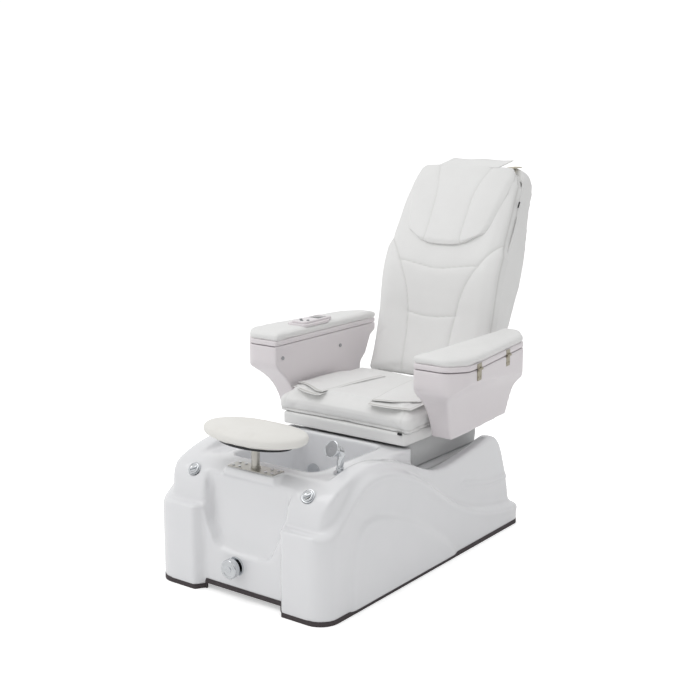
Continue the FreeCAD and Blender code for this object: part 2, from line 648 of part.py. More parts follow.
def armrest(sign, side):
    """One box armrest with its opening lid, lid pad and two hinges."""
    top = size("arm_top")
    profile = closed([(-182, top), (-182, 700)],
                     smooth([(-182, 700), (-170, 660), (-138, 630), (-104, 594), (-74, 540),
                             (-52, 473)]),
                     [(-52, 473), (10, 473), (340, 490), (356, 520), (372, 600), (405, 628),
                      (440, 700), (475, 720), (475, top)])
    front = closed([(sign * 312, 465), (sign * 398, 465)],
                   smooth([(sign * x, z) for x, z in ((398, 465), (402, 550), (428, 626),
                                                      (486, 688), (510, 710))]),
                   [(sign * 510, 710), (sign * 510, top), (sign * 312, top)])
    face = pad("XZ_Plane", front, 720, (0, -220, 0))
    solid = common(pad("YZ_Plane", profile, 240, (sign * 410, 0, 0), True), face,
                   pad("XY_Plane", arm_plan(sign, 0), 400, (0, 0, 420)))
    bay = pad("XY_Plane", rounded([(sign * x, y, 12) for x, y in
                                   ((322, -160), (436, -160), (458, -60), (425, 375),
                                    (322, 375))]), 200, (0, 0, 682))
    well = pad("XY_Plane", rounded([(sign * x, y, 10) for x, y in
                                    ((322, -30), (388, -30), (388, 330), (322, 330))]), 200,
               (0, 0, 500))
    keep(cut(solid, bay, well, hinge_relief(sign)), f"armrest_{side}")
    lid = pad("XY_Plane", arm_plan(sign, 0.5), "lid_thick", (0, 0, "lid_low"))
    keep(cut(lid, hinge_relief(sign)), f"lid_{side}")
    cushion = pad("XY_Plane", arm_plan(sign, -2), "lid_pad - 0.3",
                  (0, 0, "lid_low + lid_thick + 0.3"), edge_round=9)
    keep(cushion, f"lid_pad_{side}")


HINGE_FRONT = Vector(505, -40, 748.5)
HINGE_REAR = Vector(470.5, 225, 748.5)
HINGE_TURN = math.degrees(math.atan2(HINGE_FRONT.x - HINGE_REAR.x, HINGE_REAR.y - HINGE_FRONT.y))


def hinge_block(sign, centre, across, sides, low):
    """Leaf or slot of a hinge; across is how far it reaches out from the pin, both ways."""
    inward, outward = across
    item = box((0, 0, 0), (outward - inward, sides[0], sides[1]))
    start = inward if sign > 0 else -outward
    item.Placement.Rotation = FreeCAD.Rotation(Vector(0, 0, 1), sign * HINGE_TURN)
    spot = item.Placement.Rotation.multVec(Vector(start, -sides[0] / 2, low))
    place(item, (sign * centre.x + spot.x, centre.y + spot.y, centre.z + spot.z))
    return item


def hinge_barrel(sign, centre, radius, start, length):
    """Barrel of a hinge, lying along the lid's outer edge."""
    item = document.addObject("Part::Cylinder", "barrel")
    bind(item, "Radius", radius)
    bind(item, "Height", length)
    along = FreeCAD.Rotation(Vector(0, 0, 1), sign * HINGE_TURN)
    item.Placement.Rotation = along.multiply(FreeCAD.Rotation(Vector(1, 0, 0), -90))
    spot = along.multVec(Vector(0, start, 0))
    place(item, (sign * centre.x + spot.x, centre.y + spot.y, centre.z))
    return item


def hinge_relief(sign):
    """Slots in the body and lid that leave room for the barrels and the leaves."""
    return fuse(*[hinge_block(sign, centre, (-5.6, 12), (36, 74), -41)
                  for centre in (HINGE_FRONT, HINGE_REAR)])


def hinges():
    """Lid hinges: fixed leaves with screws on the armrest, moving leaves on the lid."""
    fixed, screws = [], []
    for sign in (-1, 1):
        moving = []
        for centre in (HINGE_FRONT, HINGE_REAR):
            leaf = hinge_block(sign, centre, (-5.5, -3), (34, 36), -40)
            web = hinge_block(sign, centre, (-4.2, -1.5), (9.6, 8), -8)
            knuckle = hinge_barrel(sign, centre, "hinge_radius", -4.8, 9.6)
            bore = hinge_barrel(sign, centre, "hinge_radius / 2 + run", -10, 20)
            fixed.append(cut(fuse(leaf, web, knuckle), bore))
            upper_leaf = hinge_block(sign, centre, (-5.5, -3), (34, 18), 3)
            ends = [hinge_barrel(sign, centre, "hinge_radius", start, 11.8)
                    for start in (-17, 5.2)]
            arms = [hinge_arm(sign, centre, start) for start in (-17, 5.2)]
            pin = hinge_barrel(sign, centre, "hinge_radius / 2", -17, 34)
            moving.append(fuse(upper_leaf, *ends, *arms, pin))
            for start in (-11, 11):
                screws.append(hinge_screw(sign, centre, start))
        keep(fuse(*moving), "hinge_knuckles_left" if sign > 0 else "hinge_knuckles_right")
    keep(fuse(*fixed), "hinge_leaves")
    keep(fuse(*screws), "hinge_screws")


def hinge_arm(sign, centre, start):
    """Short strip that carries a moving knuckle up to the lid's leaf."""
    item = box((0, 0, 0), (2.7, 11.8, 8))
    along = FreeCAD.Rotation(Vector(0, 0, 1), sign * HINGE_TURN)
    item.Placement.Rotation = along
    spot = along.multVec(Vector(-4.2 if sign > 0 else 1.5, start, 0))
    place(item, (sign * centre.x + spot.x, centre.y + spot.y, centre.z))
    return item


def hinge_screw(sign, centre, start):
    """Round-headed screw through the fixed leaf."""
    item = document.addObject("Part::Cylinder", "screw")
    bind(item, "Radius", 3)
    bind(item, "Height", 1.6)
    along = FreeCAD.Rotation(Vector(0, 0, 1), sign * HINGE_TURN)
    item.Placement.Rotation = along.multiply(FreeCAD.Rotation(Vector(0, 1, 0), sign * 90))
    spot = along.multVec(Vector(sign * -3, start, -28))
    place(item, (sign * centre.x + spot.x, centre.y + spot.y, centre.z + spot.z))
    return item


def arm_caps():
    """Covers over the armrest bolts on the inner faces."""
    caps = [cylinder((sign * 310 - 1.7, y, z), 7, 3.4, "X")
            for sign in (-1, 1) for y, z in ((-144, 701), (224, 691))]
    keep(fuse(*caps), "bolt_caps")


# ---- remote control -------------------------------------------------------------------------

def remote():
    """Handset lying in a cradle on the sitter's right armrest lid."""
    x, y, top = -366, 108, size("lid_low") + size("lid_thick") + size("lid_pad")
    cradle = cut(pad("XY_Plane", rectangle(x - 50, y - 104, x + 50, y + 62, 22), 11,
                     (0, 0, top + 0.3)),
                 pad("XY_Plane", rectangle(x - 37, y - 92, x + 37, y + 92, 14), 30,
                     (0, 0, top + 3.3)))
    keep(cradle, "remote_holder")
    case = pad("XY_Plane", rectangle(x - 36, y - 90, x + 36, y + 90, 14), 15, (0, 0, top + 3.6),
               edge_round=3)
    spots = {"button_power": (x - 18, y - 48), "button_recline": (x + 18, y - 48),
             "button_massage": (x, y - 66)}
    holes = [cylinder((u, v, top + 12.6), 6.4, 20) for u, v in spots.values()]
    screen = pad("XY_Plane", rectangle(x - 26, y + 8, x + 26, y + 70, 3), 20, (0, 0, top + 17))
    keep(cut(case, screen, *holes), "remote_case")
    for node, (u, v) in spots.items():
        keep(cylinder((u, v, top + 14), 6, 6.2), node)


for build in (base_shell, base_trim, foot_basin, base_frame, levelling_feet, plumbing,
              drain_control, control_caps, footrest, hand_shower, seat_support, seat,
              back_cushion, back_shell, back_frame, headrest, hinges, arm_caps, remote):
    build()
armrest(1, "left")
armrest(-1, "right")

document.recompute()
problems = [item.Label for item in document.Objects if {"Invalid", "Error"} & set(item.State)]
for item in finished:
    if item.Shape.isNull() or not item.Shape.isValid() or item.Shape.Volume <= 0:
        problems.append(item.Label)
if problems:
    raise SystemExit("not built: " + ", ".join(sorted(set(problems))))
os.makedirs("parts", exist_ok=True)
for item in finished:
    item.Shape.exportStep(f"parts/{item.Label}.step")
    print(item.Label, len(item.Shape.Solids), round(item.Shape.Volume / 1000), "cm3")
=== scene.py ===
"""Pedicure spa chair: upholstery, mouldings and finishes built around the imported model.

Places are in metres in the chair's own frame: x across the chair, y from the toe panel towards
the back, z up from the floor. Sizes written in millimetres pass through MM.
"""

import json
import logging
from contextlib import contextmanager
from dataclasses import dataclass, field
from enum import Enum
from typing import Callable, Iterator, Sequence

import bpy
import numpy as np
from mathutils import Matrix, Vector
from mathutils.bvhtree import BVHTree


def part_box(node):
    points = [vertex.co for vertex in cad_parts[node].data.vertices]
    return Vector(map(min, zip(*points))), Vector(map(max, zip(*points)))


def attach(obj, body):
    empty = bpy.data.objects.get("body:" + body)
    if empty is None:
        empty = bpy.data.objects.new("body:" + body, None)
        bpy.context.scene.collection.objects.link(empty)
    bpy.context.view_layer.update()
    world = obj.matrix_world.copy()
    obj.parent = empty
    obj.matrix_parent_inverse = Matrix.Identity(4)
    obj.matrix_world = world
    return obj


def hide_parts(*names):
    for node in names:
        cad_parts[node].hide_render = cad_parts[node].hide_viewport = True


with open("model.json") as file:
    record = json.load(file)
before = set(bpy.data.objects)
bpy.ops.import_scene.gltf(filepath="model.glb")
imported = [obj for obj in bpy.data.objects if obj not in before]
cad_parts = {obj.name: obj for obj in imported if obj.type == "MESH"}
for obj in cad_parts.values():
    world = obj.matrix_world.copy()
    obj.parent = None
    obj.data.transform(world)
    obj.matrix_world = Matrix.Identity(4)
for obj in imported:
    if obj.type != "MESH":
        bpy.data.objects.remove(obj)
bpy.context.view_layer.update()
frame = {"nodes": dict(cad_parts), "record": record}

MM = 0.001
# Frames that a stuffed pad is given to swell.
CLOTH_FRAMES = 20
SIDES = ("right", "left")
SHADE_ATTRIBUTE = "seam"
Pair = tuple[float, float]
Triple = tuple[float, float, float]
log = logging.getLogger("chair")


# ---- finishes -------------------------------------------------------------------------------

def linear(colour: str) -> tuple[float, float, float, float]:
    """Turn an sRGB hex colour into linear light.

    Args:
        colour: Six hex digits after a hash.

    Returns:
        Red, green, blue and an alpha of one.
    """
    parts = [int(colour[i:i + 2], 16) / 255 for i in (1, 3, 5)]
    light = [p / 12.92 if p <= 0.04045 else ((p + 0.055) / 1.055) ** 2.4 for p in parts]
    return (*light, 1.0)


def add_node(tree: bpy.types.NodeTree, kind: str, inputs: dict | None = None,
             **settings: object) -> bpy.types.Node:
    """Add a node with its settings, values and links.

    Args:
        tree: Node tree of the material or world.
        kind: Type name of the node.
        inputs: Value or source socket for each named or numbered input.
        **settings: Properties of the node itself.

    Returns:
        The new node.
    """
    node = tree.nodes.new(kind)
    for name, value in settings.items():
        setattr(node, name, value)
    for socket, value in (inputs or {}).items():
        if isinstance(value, bpy.types.NodeSocket):
            tree.links.new(value, node.inputs[socket])
        else:
            node.inputs[socket].default_value = value
    return node


def per_metre(millimetres: float) -> float:
    """Texture scale that repeats about once in a length given in millimetres."""
    return 1 / (millimetres * MM)


@dataclass(frozen=True)
class Finish:
    """A surface with a colour, a second colour it drifts to, and a gloss."""

    title: str
    colour: str
    drift: str
    roughness: float
    metallic: float = 0.0
    uneven: float = 0.04
    patch: float = 120.0
    coat: float = 0.0

    def build(self) -> bpy.types.Material:
        """Make the material.

        Returns:
            A node material named for the finish.
        """
        material = bpy.data.materials.new(self.title)
        material.use_nodes = True
        tree = material.node_tree
        shader = tree.nodes["Principled BSDF"]
        place = add_node(tree, "ShaderNodeTexCoord").outputs["Object"]
        shader.inputs["Metallic"].default_value = self.metallic
        shader.inputs["Coat Weight"].default_value = self.coat
        shader.inputs["Coat Roughness"].default_value = 0.05
        cloud = add_node(tree, "ShaderNodeTexNoise", {"Vector": place, "Detail": 3.0,
                                                      "Scale": per_metre(self.patch)})
        tint = add_node(tree, "ShaderNodeMix", {0: cloud.outputs["Fac"], 6: linear(self.colour),
                                                7: linear(self.drift)}, data_type="RGBA")
        smear = add_node(tree, "ShaderNodeMapRange",
                         {"Value": cloud.outputs["Fac"], "To Min": self.roughness - self.uneven,
                          "To Max": self.roughness + self.uneven})
        tree.links.new(smear.outputs["Result"], shader.inputs["Roughness"])
        colour = self.overlay(tree, tint.outputs[2])
        tree.links.new(colour, shader.inputs["Base Color"])
        self.relief(tree, shader, place)
        return material

    def overlay(self, tree: bpy.types.NodeTree,
                tint: bpy.types.NodeSocket) -> bpy.types.NodeSocket:
        """Colour laid over the drifting tint; plain finishes have none."""
        return tint

    def relief(self, tree: bpy.types.NodeTree, shader: bpy.types.Node,
               place: bpy.types.NodeSocket) -> None:
        """Fine bump of the surface; smooth finishes have none."""


@dataclass(frozen=True)
class Moulded(Finish):
    """Moulded or sprayed plastic: a fine even relief under the gloss."""

    grit: float = 6.0
    depth: float = 0.02
    strength: float = 0.25

    def relief(self, tree: bpy.types.NodeTree, shader: bpy.types.Node,
               place: bpy.types.NodeSocket) -> None:
        """Add the even relief.

        Args:
            tree: Node tree of the material.
            shader: The surface shader that takes the relief.
            place: Object coordinates.
        """
        grain = add_node(tree, "ShaderNodeTexNoise", {"Vector": place, "Detail": 2.0,
                                                      "Scale": per_metre(self.grit)})
        bump = add_node(tree, "ShaderNodeBump", {"Height": grain.outputs["Fac"],
                                                 "Strength": self.strength,
                                                 "Distance": self.depth * MM})
        tree.links.new(bump.outputs["Normal"], shader.inputs["Normal"])


@dataclass(frozen=True)
class Leather(Finish):
    """Coated vinyl leather: pebble grain, soft creases, and painted shade along the seam grooves.
    """

    pebble: float = 2.2
    crease: float = 34.0
    depth: float = 0.12
    # Colour of the painted shade laid along the seam grooves and folds.
    groove_shade: str = "#8E8C80"

    def overlay(self, tree: bpy.types.NodeTree,
                tint: bpy.types.NodeSocket) -> bpy.types.NodeSocket:
        """Darken the tint along the seams that the piece carries, as painted shade in their
        grooves.

        Args:
            tree: Node tree of the material.
            tint: Colour before the seams.

        Returns:
            Colour with the painted seam shade.
        """
        # Painted shade: the share stored along seam grooves and folds mixes in the darker colour.
        seam = add_node(tree, "ShaderNodeAttribute", attribute_name=SHADE_ATTRIBUTE)
        mixed = add_node(tree, "ShaderNodeMix", {0: seam.outputs["Fac"], 6: tint,
                                                 7: linear(self.groove_shade)}, data_type="RGBA")
        return mixed.outputs[2]

    def relief(self, tree: bpy.types.NodeTree, shader: bpy.types.Node,
               place: bpy.types.NodeSocket) -> None:
        """Add the pebble grain and the creases.

        Args:
            tree: Node tree of the material.
            shader: The surface shader that takes the relief.
            place: Object coordinates.
        """
        pebbles = add_node(tree, "ShaderNodeTexVoronoi", {"Vector": place,
                                                          "Scale": per_metre(self.pebble)})
        folds = add_node(tree, "ShaderNodeTexNoise", {"Vector": place, "Detail": 4.0,
                                                      "Scale": per_metre(self.crease),
                                                      "Distortion": 0.6})
        fine = add_node(tree, "ShaderNodeBump", {"Height": pebbles.outputs["Distance"],
                                                 "Strength": 0.18, "Distance": 0.1 * MM})
        bump = add_node(tree, "ShaderNodeBump", {"Height": folds.outputs["Fac"],
                                                 "Strength": 0.35, "Distance": self.depth * 10 * MM,
                                                 "Normal": fine.outputs["Normal"]})
        tree.links.new(bump.outputs["Normal"], shader.inputs["Normal"])


@dataclass(frozen=True)
class Metal(Finish):
    """Plated or brushed metal: the brush lines run along one axis where they show."""

    metallic: float = 1.0
    lines: Triple = (1.0, 1.0, 1.0)
    line: float = 0.8
    scratch: float = 0.05

    def relief(self, tree: bpy.types.NodeTree, shader: bpy.types.Node,
               place: bpy.types.NodeSocket) -> None:
        """Add brush lines, stretched along the axis whose factor is small.

        Args:
            tree: Node tree of the material.
            shader: The surface shader that takes the relief.
            place: Object coordinates.
        """
        turned = add_node(tree, "ShaderNodeMapping", {"Vector": place, "Scale": self.lines})
        brush = add_node(tree, "ShaderNodeTexNoise", {"Vector": turned.outputs["Vector"],
                                                      "Detail": 3.0,
                                                      "Scale": per_metre(self.line)})
        bump = add_node(tree, "ShaderNodeBump", {"Height": brush.outputs["Fac"],
                                                 "Strength": self.scratch,
                                                 "Distance": 0.05 * MM})
        tree.links.new(bump.outputs["Normal"], shader.inputs["Normal"])


class Surface(Enum):
    """The chair's finishes, each under the record's name for its material slot."""

    # Sprayed polyester gelcoat: wet cool white with the faintest orange peel in reflections.
    GELCOAT = Moulded("Polyester gelcoat, sprayed gloss", "#EFEFF1", "#EAEBED", 0.16, coat=0.5,
                      grit=9.0, depth=0.03, strength=0.2)
    # Extruded EPDM edge: dull charcoal brown with a dry, slightly dusty face.
    EDGE_RUBBER = Moulded("EPDM rubber edging, extruded", "#3A3335", "#4A4244", 0.62, grit=2.0,
                          depth=0.15, strength=0.5)
    # Epoxy powder coat: dark grey steel with the soft orange peel of baked powder.
    POWDER_COAT = Moulded("Epoxy powder-coated steel, baked", "#3F4247", "#4A4D52", 0.45,
                          grit=2.5, depth=0.08, strength=0.4)
    # Black polyamide: spark-eroded mould texture, nearly matt.
    BLACK_NYLON = Moulded("Black polyamide, moulded", "#17171A", "#222226", 0.5, grit=1.2,
                          depth=0.06, strength=0.4)
    # Grey ABS: satin moulding of caps, waste pipe and spray face.
    GREY_ABS = Moulded("Grey ABS, moulded satin", "#A6A7AA", "#9C9DA1", 0.38, grit=1.5,
                       depth=0.05, strength=0.3)
    # Warm white ABS of the armrests: a satin face with a pink-grey cast in the shade.
    WHITE_ABS = Moulded("White ABS, moulded satin", "#EAE5E7", "#E6E0E3", 0.3, coat=0.25,
                        grit=1.6, depth=0.03, strength=0.25)
    # Chrome plate on brass: bright mirror with a little haze from wiping.
    CHROME = Metal("Chrome plate on brass, polished", "#D9DBDD", "#CDD0D3", 0.08, uneven=0.03,
                   patch=18.0, scratch=0.02)
    # Brushed stainless steel: long fine lines up the post that stretch the highlight.
    STAINLESS = Metal("Stainless steel, brushed", "#C6C4BE", "#B5B2AB", 0.3, uneven=0.06,
                      patch=30.0, lines=(1.0, 1.0, 0.04), line=0.9, scratch=0.35)
    # Zinc-plated steel: pale, slightly yellow and cloudy.
    ZINC = Metal("Zinc-plated steel, passivated", "#B9B2A0", "#A39C8C", 0.36, uneven=0.08,
                 patch=6.0, scratch=0.12)
    # White vinyl leather: embossed pebble grain and easy creases over foam.
    WHITE_VINYL = Leather("White vinyl leather, embossed", "#F0F0EF", "#EAEAE9", 0.46,
                          patch=90.0)
    # Ivory vinyl of the footrest: smoother, warmer and pulled tight over its foam.
    IVORY_VINYL = Leather("Ivory vinyl leather, stretched", "#EFEEEA", "#EAE8E3", 0.5,
                          patch=70.0, depth=0.05)
    # Pale grey vinyl that closes the space under the seat, loose; the same grey on the backrest's
    # groove strips is painted shade, a shadow line between pad and shell.
    GREY_VINYL = Leather("Pale grey vinyl leather, loose", "#D9DADA", "#CDCFCF", 0.5,
                         patch=60.0, crease=26.0, depth=0.25)
    # Woven hook-and-loop strap: beige, dry and fuzzy.
    STRAP = Moulded("Hook-and-loop tape, woven nylon", "#D8D2C2", "#C9C2B0", 0.8, grit=1.1,
                    depth=0.3, strength=0.8)
    # Silicone rubber buttons: grey, silky, no sharp highlight.
    BUTTON_RUBBER = Moulded("Silicone rubber, moulded", "#8B8D91", "#808286", 0.55, grit=1.0,
                            depth=0.04, strength=0.3)
    # Acrylic window of the handset: black glass-like face with a hard reflection.
    WINDOW = Moulded("Acrylic window, tinted", "#1D2124", "#262B2F", 0.06, coat=0.6, grit=20.0,
                     depth=0.005, strength=0.1)
    # Studio floor: seamless white board.
    FLOOR = Moulded("Painted studio board, matt", "#FFFFFF", "#FBFBFB", 0.8, grit=3.0,
                    depth=0.02, strength=0.2)


SLOT_SURFACE = {
    "gelcoat": Surface.GELCOAT, "rubber_trim": Surface.EDGE_RUBBER,
    "painted_steel": Surface.POWDER_COAT, "black_plastic": Surface.BLACK_NYLON,
    "grey_plastic": Surface.GREY_ABS, "chrome": Surface.CHROME,
    "stainless": Surface.STAINLESS, "white_vinyl": Surface.WHITE_VINYL,
    "ivory_vinyl": Surface.IVORY_VINYL, "grey_vinyl": Surface.GREY_VINYL,
    "arm_plastic": Surface.WHITE_ABS, "zinc_steel": Surface.ZINC,
    "button_rubber": Surface.BUTTON_RUBBER,
}


class Palette:
    """Every finish, made once and laid on pieces."""

    def __init__(self) -> None:
        """Make all the materials."""
        self.made = {surface: surface.value.build() for surface in Surface}

    def dress(self, piece: bpy.types.Object, surface: Surface) -> None:
        """Give a piece one finish all over.

        Args:
            piece: The piece to dress.
            surface: The finish it gets.
        """
        piece.data.materials.clear()
        piece.data.materials.append(self.made[surface])
        for face in piece.data.polygons:
            face.material_index = 0

    def dress_frame(self) -> None:
        """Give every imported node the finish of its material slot."""
        for part in frame["record"]["subparts"]:
            material = self.made[SLOT_SURFACE[part["material_slot"]]]
            node = frame["nodes"][part["node"]]
            if not node.material_slots:
                node.data.materials.append(material)
            for place in node.material_slots:
                place.material = material


# ---- modelling tools ------------------------------------------------------------------------

def choose(piece: bpy.types.Object | None) -> None:
    """Deselect everything, then select and activate one piece.

    Args:
        piece: The piece to work on, or None for nothing.
    """
    active = bpy.context.view_layer.objects.active
    if active and active.mode != "OBJECT":
        bpy.ops.object.mode_set(mode="OBJECT")
    bpy.ops.object.select_all(action="DESELECT")
    bpy.context.view_layer.objects.active = piece
    if piece:
        piece.select_set(True)


@contextmanager
def editing(piece: bpy.types.Object, kind: str = "FACE",
            test: Callable[[object], bool] | None = None) -> Iterator[None]:
    """Hold a piece in edit mode with some of its elements selected.

    Args:
        piece: The piece to edit.
        kind: VERT, EDGE or FACE.
        test: Says which elements are selected; all of them when it is None.

    Yields:
        Nothing; the piece is back in object mode afterwards.
    """
    choose(piece)
    bpy.ops.object.mode_set(mode="EDIT")
    bpy.ops.mesh.select_mode(type=kind)
    bpy.ops.mesh.select_all(action="SELECT" if test is None else "DESELECT")
    if test:
        bpy.ops.object.mode_set(mode="OBJECT")
        mesh = piece.data
        for item in {"VERT": mesh.vertices, "EDGE": mesh.edges, "FACE": mesh.polygons}[kind]:
            item.select = test(item)
        bpy.ops.object.mode_set(mode="EDIT")
    yield
    bpy.ops.object.mode_set(mode="OBJECT")


def modified(piece: bpy.types.Object, kind: str, **settings: object) -> bpy.types.Object:
    """Add a modifier with its settings and apply it.

    Args:
        piece: The piece to change.
        kind: Modifier type.
        **settings: Properties of the modifier.

    Returns:
        The same piece.
    """
    choose(piece)
    modifier = piece.modifiers.new(kind.title(), kind)
    for name, value in settings.items():
        setattr(modifier, name, value)
    bpy.ops.object.modifier_apply(modifier=modifier.name)
    return piece


def settled(piece: bpy.types.Object) -> bpy.types.Object:
    """Put a piece's place, turn and size into its mesh.

    Args:
        piece: The piece to settle.

    Returns:
        The same piece, at the origin.
    """
    choose(piece)
    bpy.ops.object.transform_apply(location=True, rotation=True, scale=True)
    return piece


def block(name: str, low: Sequence[float], high: Sequence[float],
          edge: float = 0.0, segments: int = 3) -> bpy.types.Object:
    """Model a block between two corners, with rounded edges.

    Args:
        name: Name of the piece.
        low: Lowest corner.
        high: Highest corner.
        edge: Radius of the edges.
        segments: Faces across each rounded edge.

    Returns:
        The new piece.
    """
    choose(None)
    low, high = Vector(low), Vector(high)
    bpy.ops.mesh.primitive_cube_add(size=1, location=(low + high) / 2, scale=high - low)
    piece = bpy.context.object
    piece.name = name
    settled(piece)
    if edge:
        with editing(piece):
            bpy.ops.mesh.bevel(offset=edge, segments=segments, affect="EDGES")
    return piece


def turned(name: str, outline: Sequence[Pair], centre: Sequence[float],
           axis: Sequence[float] = (0, 0, 1), count: int = 64) -> bpy.types.Object:
    """Model a closed turned part by extruding a disc ring by ring.

    Args:
        name: Name of the piece.
        outline: Radius and height of each ring, from one end to the other.
        centre: Place of height zero on the axis.
        axis: Direction in which the height grows.
        count: Sides of each ring.

    Returns:
        The new piece.
    """
    choose(None)
    radius, height = outline[0]
    bpy.ops.mesh.primitive_circle_add(vertices=count, radius=radius, fill_type="NGON",
                                      location=(0, 0, 0))
    piece = bpy.context.object
    piece.name = name
    start = height
    with editing(piece):
        for wide, high in outline[1:]:
            bpy.ops.mesh.extrude_region_move(
                TRANSFORM_OT_translate={"value": (0, 0, high - height)})
            bpy.ops.transform.resize(value=(wide / radius, wide / radius, 1))
            radius, height = wide, high
        bpy.ops.mesh.select_all(action="SELECT")
        bpy.ops.mesh.normals_make_consistent(inside=False)
    turn = Vector((0, 0, 1)).rotation_difference(Vector(axis)).to_matrix().to_4x4()
    piece.data.transform(Matrix.Translation((0, 0, start)))
    piece.data.transform(Matrix.Translation(centre) @ turn)
    smooth_faces(piece, 35)
    return piece


def smooth_faces(piece: bpy.types.Object, angle: float = 40) -> bpy.types.Object:
    """Shade a piece smooth except across its sharp edges.

    Args:
        piece: The piece to shade.
        angle: Edges sharper than this many degrees stay sharp.

    Returns:
        The same piece.
    """
    choose(piece)
    bpy.ops.object.shade_smooth_by_angle(angle=np.radians(angle))
    return piece


def from_nodes(name: str, *nodes: str) -> bpy.types.Object:
    """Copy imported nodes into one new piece, with their doubled points merged.

    Args:
        name: Name of the new piece.
        *nodes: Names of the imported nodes.

    Returns:
        The new piece.
    """
    copies = []
    for node in nodes:
        copy = bpy.data.objects.new(name, frame["nodes"][node].data.copy())
        bpy.context.scene.collection.objects.link(copy)
        with editing(copy):
            bpy.ops.mesh.remove_doubles(threshold=0.01 * MM)
        copies.append(copy)
    return joined(name, *copies)


def joined(name: str, *pieces: bpy.types.Object) -> bpy.types.Object:
    """Join pieces into the first one and name it.

    Args:
        name: Name of the result.
        *pieces: The pieces to join.

    Returns:
        The joined piece.
    """
    choose(pieces[0])
    for piece in pieces[1:]:
        piece.select_set(True)
    if len(pieces) > 1:
        bpy.ops.object.join()
    pieces[0].name = name
    return pieces[0]


def skinned(piece: bpy.types.Object, voxel: float, rounds: int) -> bpy.types.Object:
    """Give a piece one even closed skin and soften its edges.

    Args:
        piece: The piece to cover.
        voxel: Size of the new faces.
        rounds: How many times the skin is relaxed.

    Returns:
        The same piece.
    """
    modified(piece, "REMESH", mode="VOXEL", voxel_size=voxel, use_smooth_shade=True)
    if rounds:
        modified(piece, "SMOOTH", factor=0.5, iterations=rounds)
    return piece


def softened(piece: bpy.types.Object, share: np.ndarray, rounds: int) -> bpy.types.Object:
    """Relax a skin more where each point's share says so.

    Args:
        piece: The skinned piece.
        share: Weight of each point, from 0 to 1.
        rounds: How many times it is relaxed.

    Returns:
        The same piece.
    """
    group = piece.vertex_groups.new(name="soft")
    for step in range(1, 11):
        chosen = np.flatnonzero(np.round(share * 10) == step)
        group.add(chosen.tolist(), step / 10, "REPLACE")
    modified(piece, "SMOOTH", factor=0.5, iterations=rounds, vertex_group="soft")
    piece.vertex_groups.clear()
    return piece


def points(piece: bpy.types.Object, kind: str = "co") -> np.ndarray:
    """Places, or normals, of a piece's points.

    Args:
        piece: The piece to read.
        kind: "co" for places or "normal" for directions.

    Returns:
        One row for each point.
    """
    flat = np.empty(len(piece.data.vertices) * 3)
    piece.data.vertices.foreach_get(kind, flat)
    return flat.reshape(-1, 3)


def move_points(piece: bpy.types.Object, places: np.ndarray) -> None:
    """Put a piece's points at new places."""
    piece.data.vertices.foreach_set("co", places.ravel())
    piece.data.update()


def ease(value: np.ndarray, start: float, end: float) -> np.ndarray:
    """Rise smoothly from 0 at start to 1 at end."""
    part = np.clip((value - start) / (end - start), 0, 1)
    return part * part * (3 - 2 * part)


def smooth_line(corners: Sequence[Pair], steps: int = 16) -> np.ndarray:
    """Draw a smooth line through a few points.

    Args:
        corners: The points it passes.
        steps: Stretches between two of them.

    Returns:
        One row for each point of the line.
    """
    knots = np.array(corners, float)
    padded = np.vstack([2 * knots[0] - knots[1], knots, 2 * knots[-1] - knots[-2]])
    part = np.linspace(0, 1, steps, endpoint=False)[:, None]
    runs = []
    for a, b, c, d in zip(padded, padded[1:], padded[2:], padded[3:]):
        runs.append(0.5 * (2 * b + (c - a) * part + (2 * a - 5 * b + 4 * c - d) * part ** 2
                           + (3 * b - a - 3 * c + d) * part ** 3))
    return np.vstack([*runs, knots[-1:]])


def distance_to(line: np.ndarray, flat: np.ndarray) -> np.ndarray:
    """Distance of each point of a plane to a line in it.

    Args:
        line: Points of the line, one row each.
        flat: Points to measure, one row each.

    Returns:
        One distance for each point.
    """
    nearest = np.full(len(flat), np.inf)
    for start, end in zip(line, line[1:]):
        along = end - start
        part = np.clip((flat - start) @ along / max(along @ along, 1e-12), 0, 1)
        nearest = np.minimum(nearest, np.linalg.norm(flat - start - part[:, None] * along, axis=1))
    return nearest


def mark_groove_shade(piece: bpy.types.Object, amount: np.ndarray) -> None:
    """Store how much painted shade each point shows along seam grooves and folds, keeping what is
    there already.

    Args:
        piece: The sewn piece.
        amount: Share of the painted shade colour at each point.
    """
    layer = piece.data.attributes.get(SHADE_ATTRIBUTE) or piece.data.attributes.new(SHADE_ATTRIBUTE, "FLOAT", "POINT")
    held = np.zeros(len(piece.data.vertices), np.float32)
    layer.data.foreach_get("value", held)
    layer.data.foreach_set("value", np.maximum(held, amount).astype(np.float32))


@dataclass
class Seam:
    """A sewn line in the flat of a pad: how deep it pulls and how wide the foam gives."""

    line: Sequence[Pair]
    depth: float = 5.0
    width: float = 3.5
    give: float = 16.0
    # Share of painted shade darkening the bottom of the groove.
    groove_shade: float = 0.35

    def pull(self, piece: bpy.types.Object, flat: np.ndarray,
             facing: np.ndarray, up: np.ndarray) -> None:
        """Sink the seam into the piece.

        Args:
            piece: The piece to change.
            flat: Where each point lies in the plane of the seam.
            facing: Share of the pull that each point takes.
            up: Direction out of the pad at each point, or one direction for all.
        """
        gap = distance_to(smooth_line(np.array(self.line) * MM), flat)
        groove = np.exp(-(gap / (self.width * MM)) ** 2)
        dip = 0.45 * np.exp(-(gap / (self.give * MM)) ** 2)
        sink = (0.55 * groove + dip) * self.depth * MM * facing
        move_points(piece, points(piece) - sink[:, None] * up)
        # Painted shade along the bottom of the groove.
        mark_groove_shade(piece, self.groove_shade * np.exp(-(gap / (0.5 * self.width * MM)) ** 2) * facing)


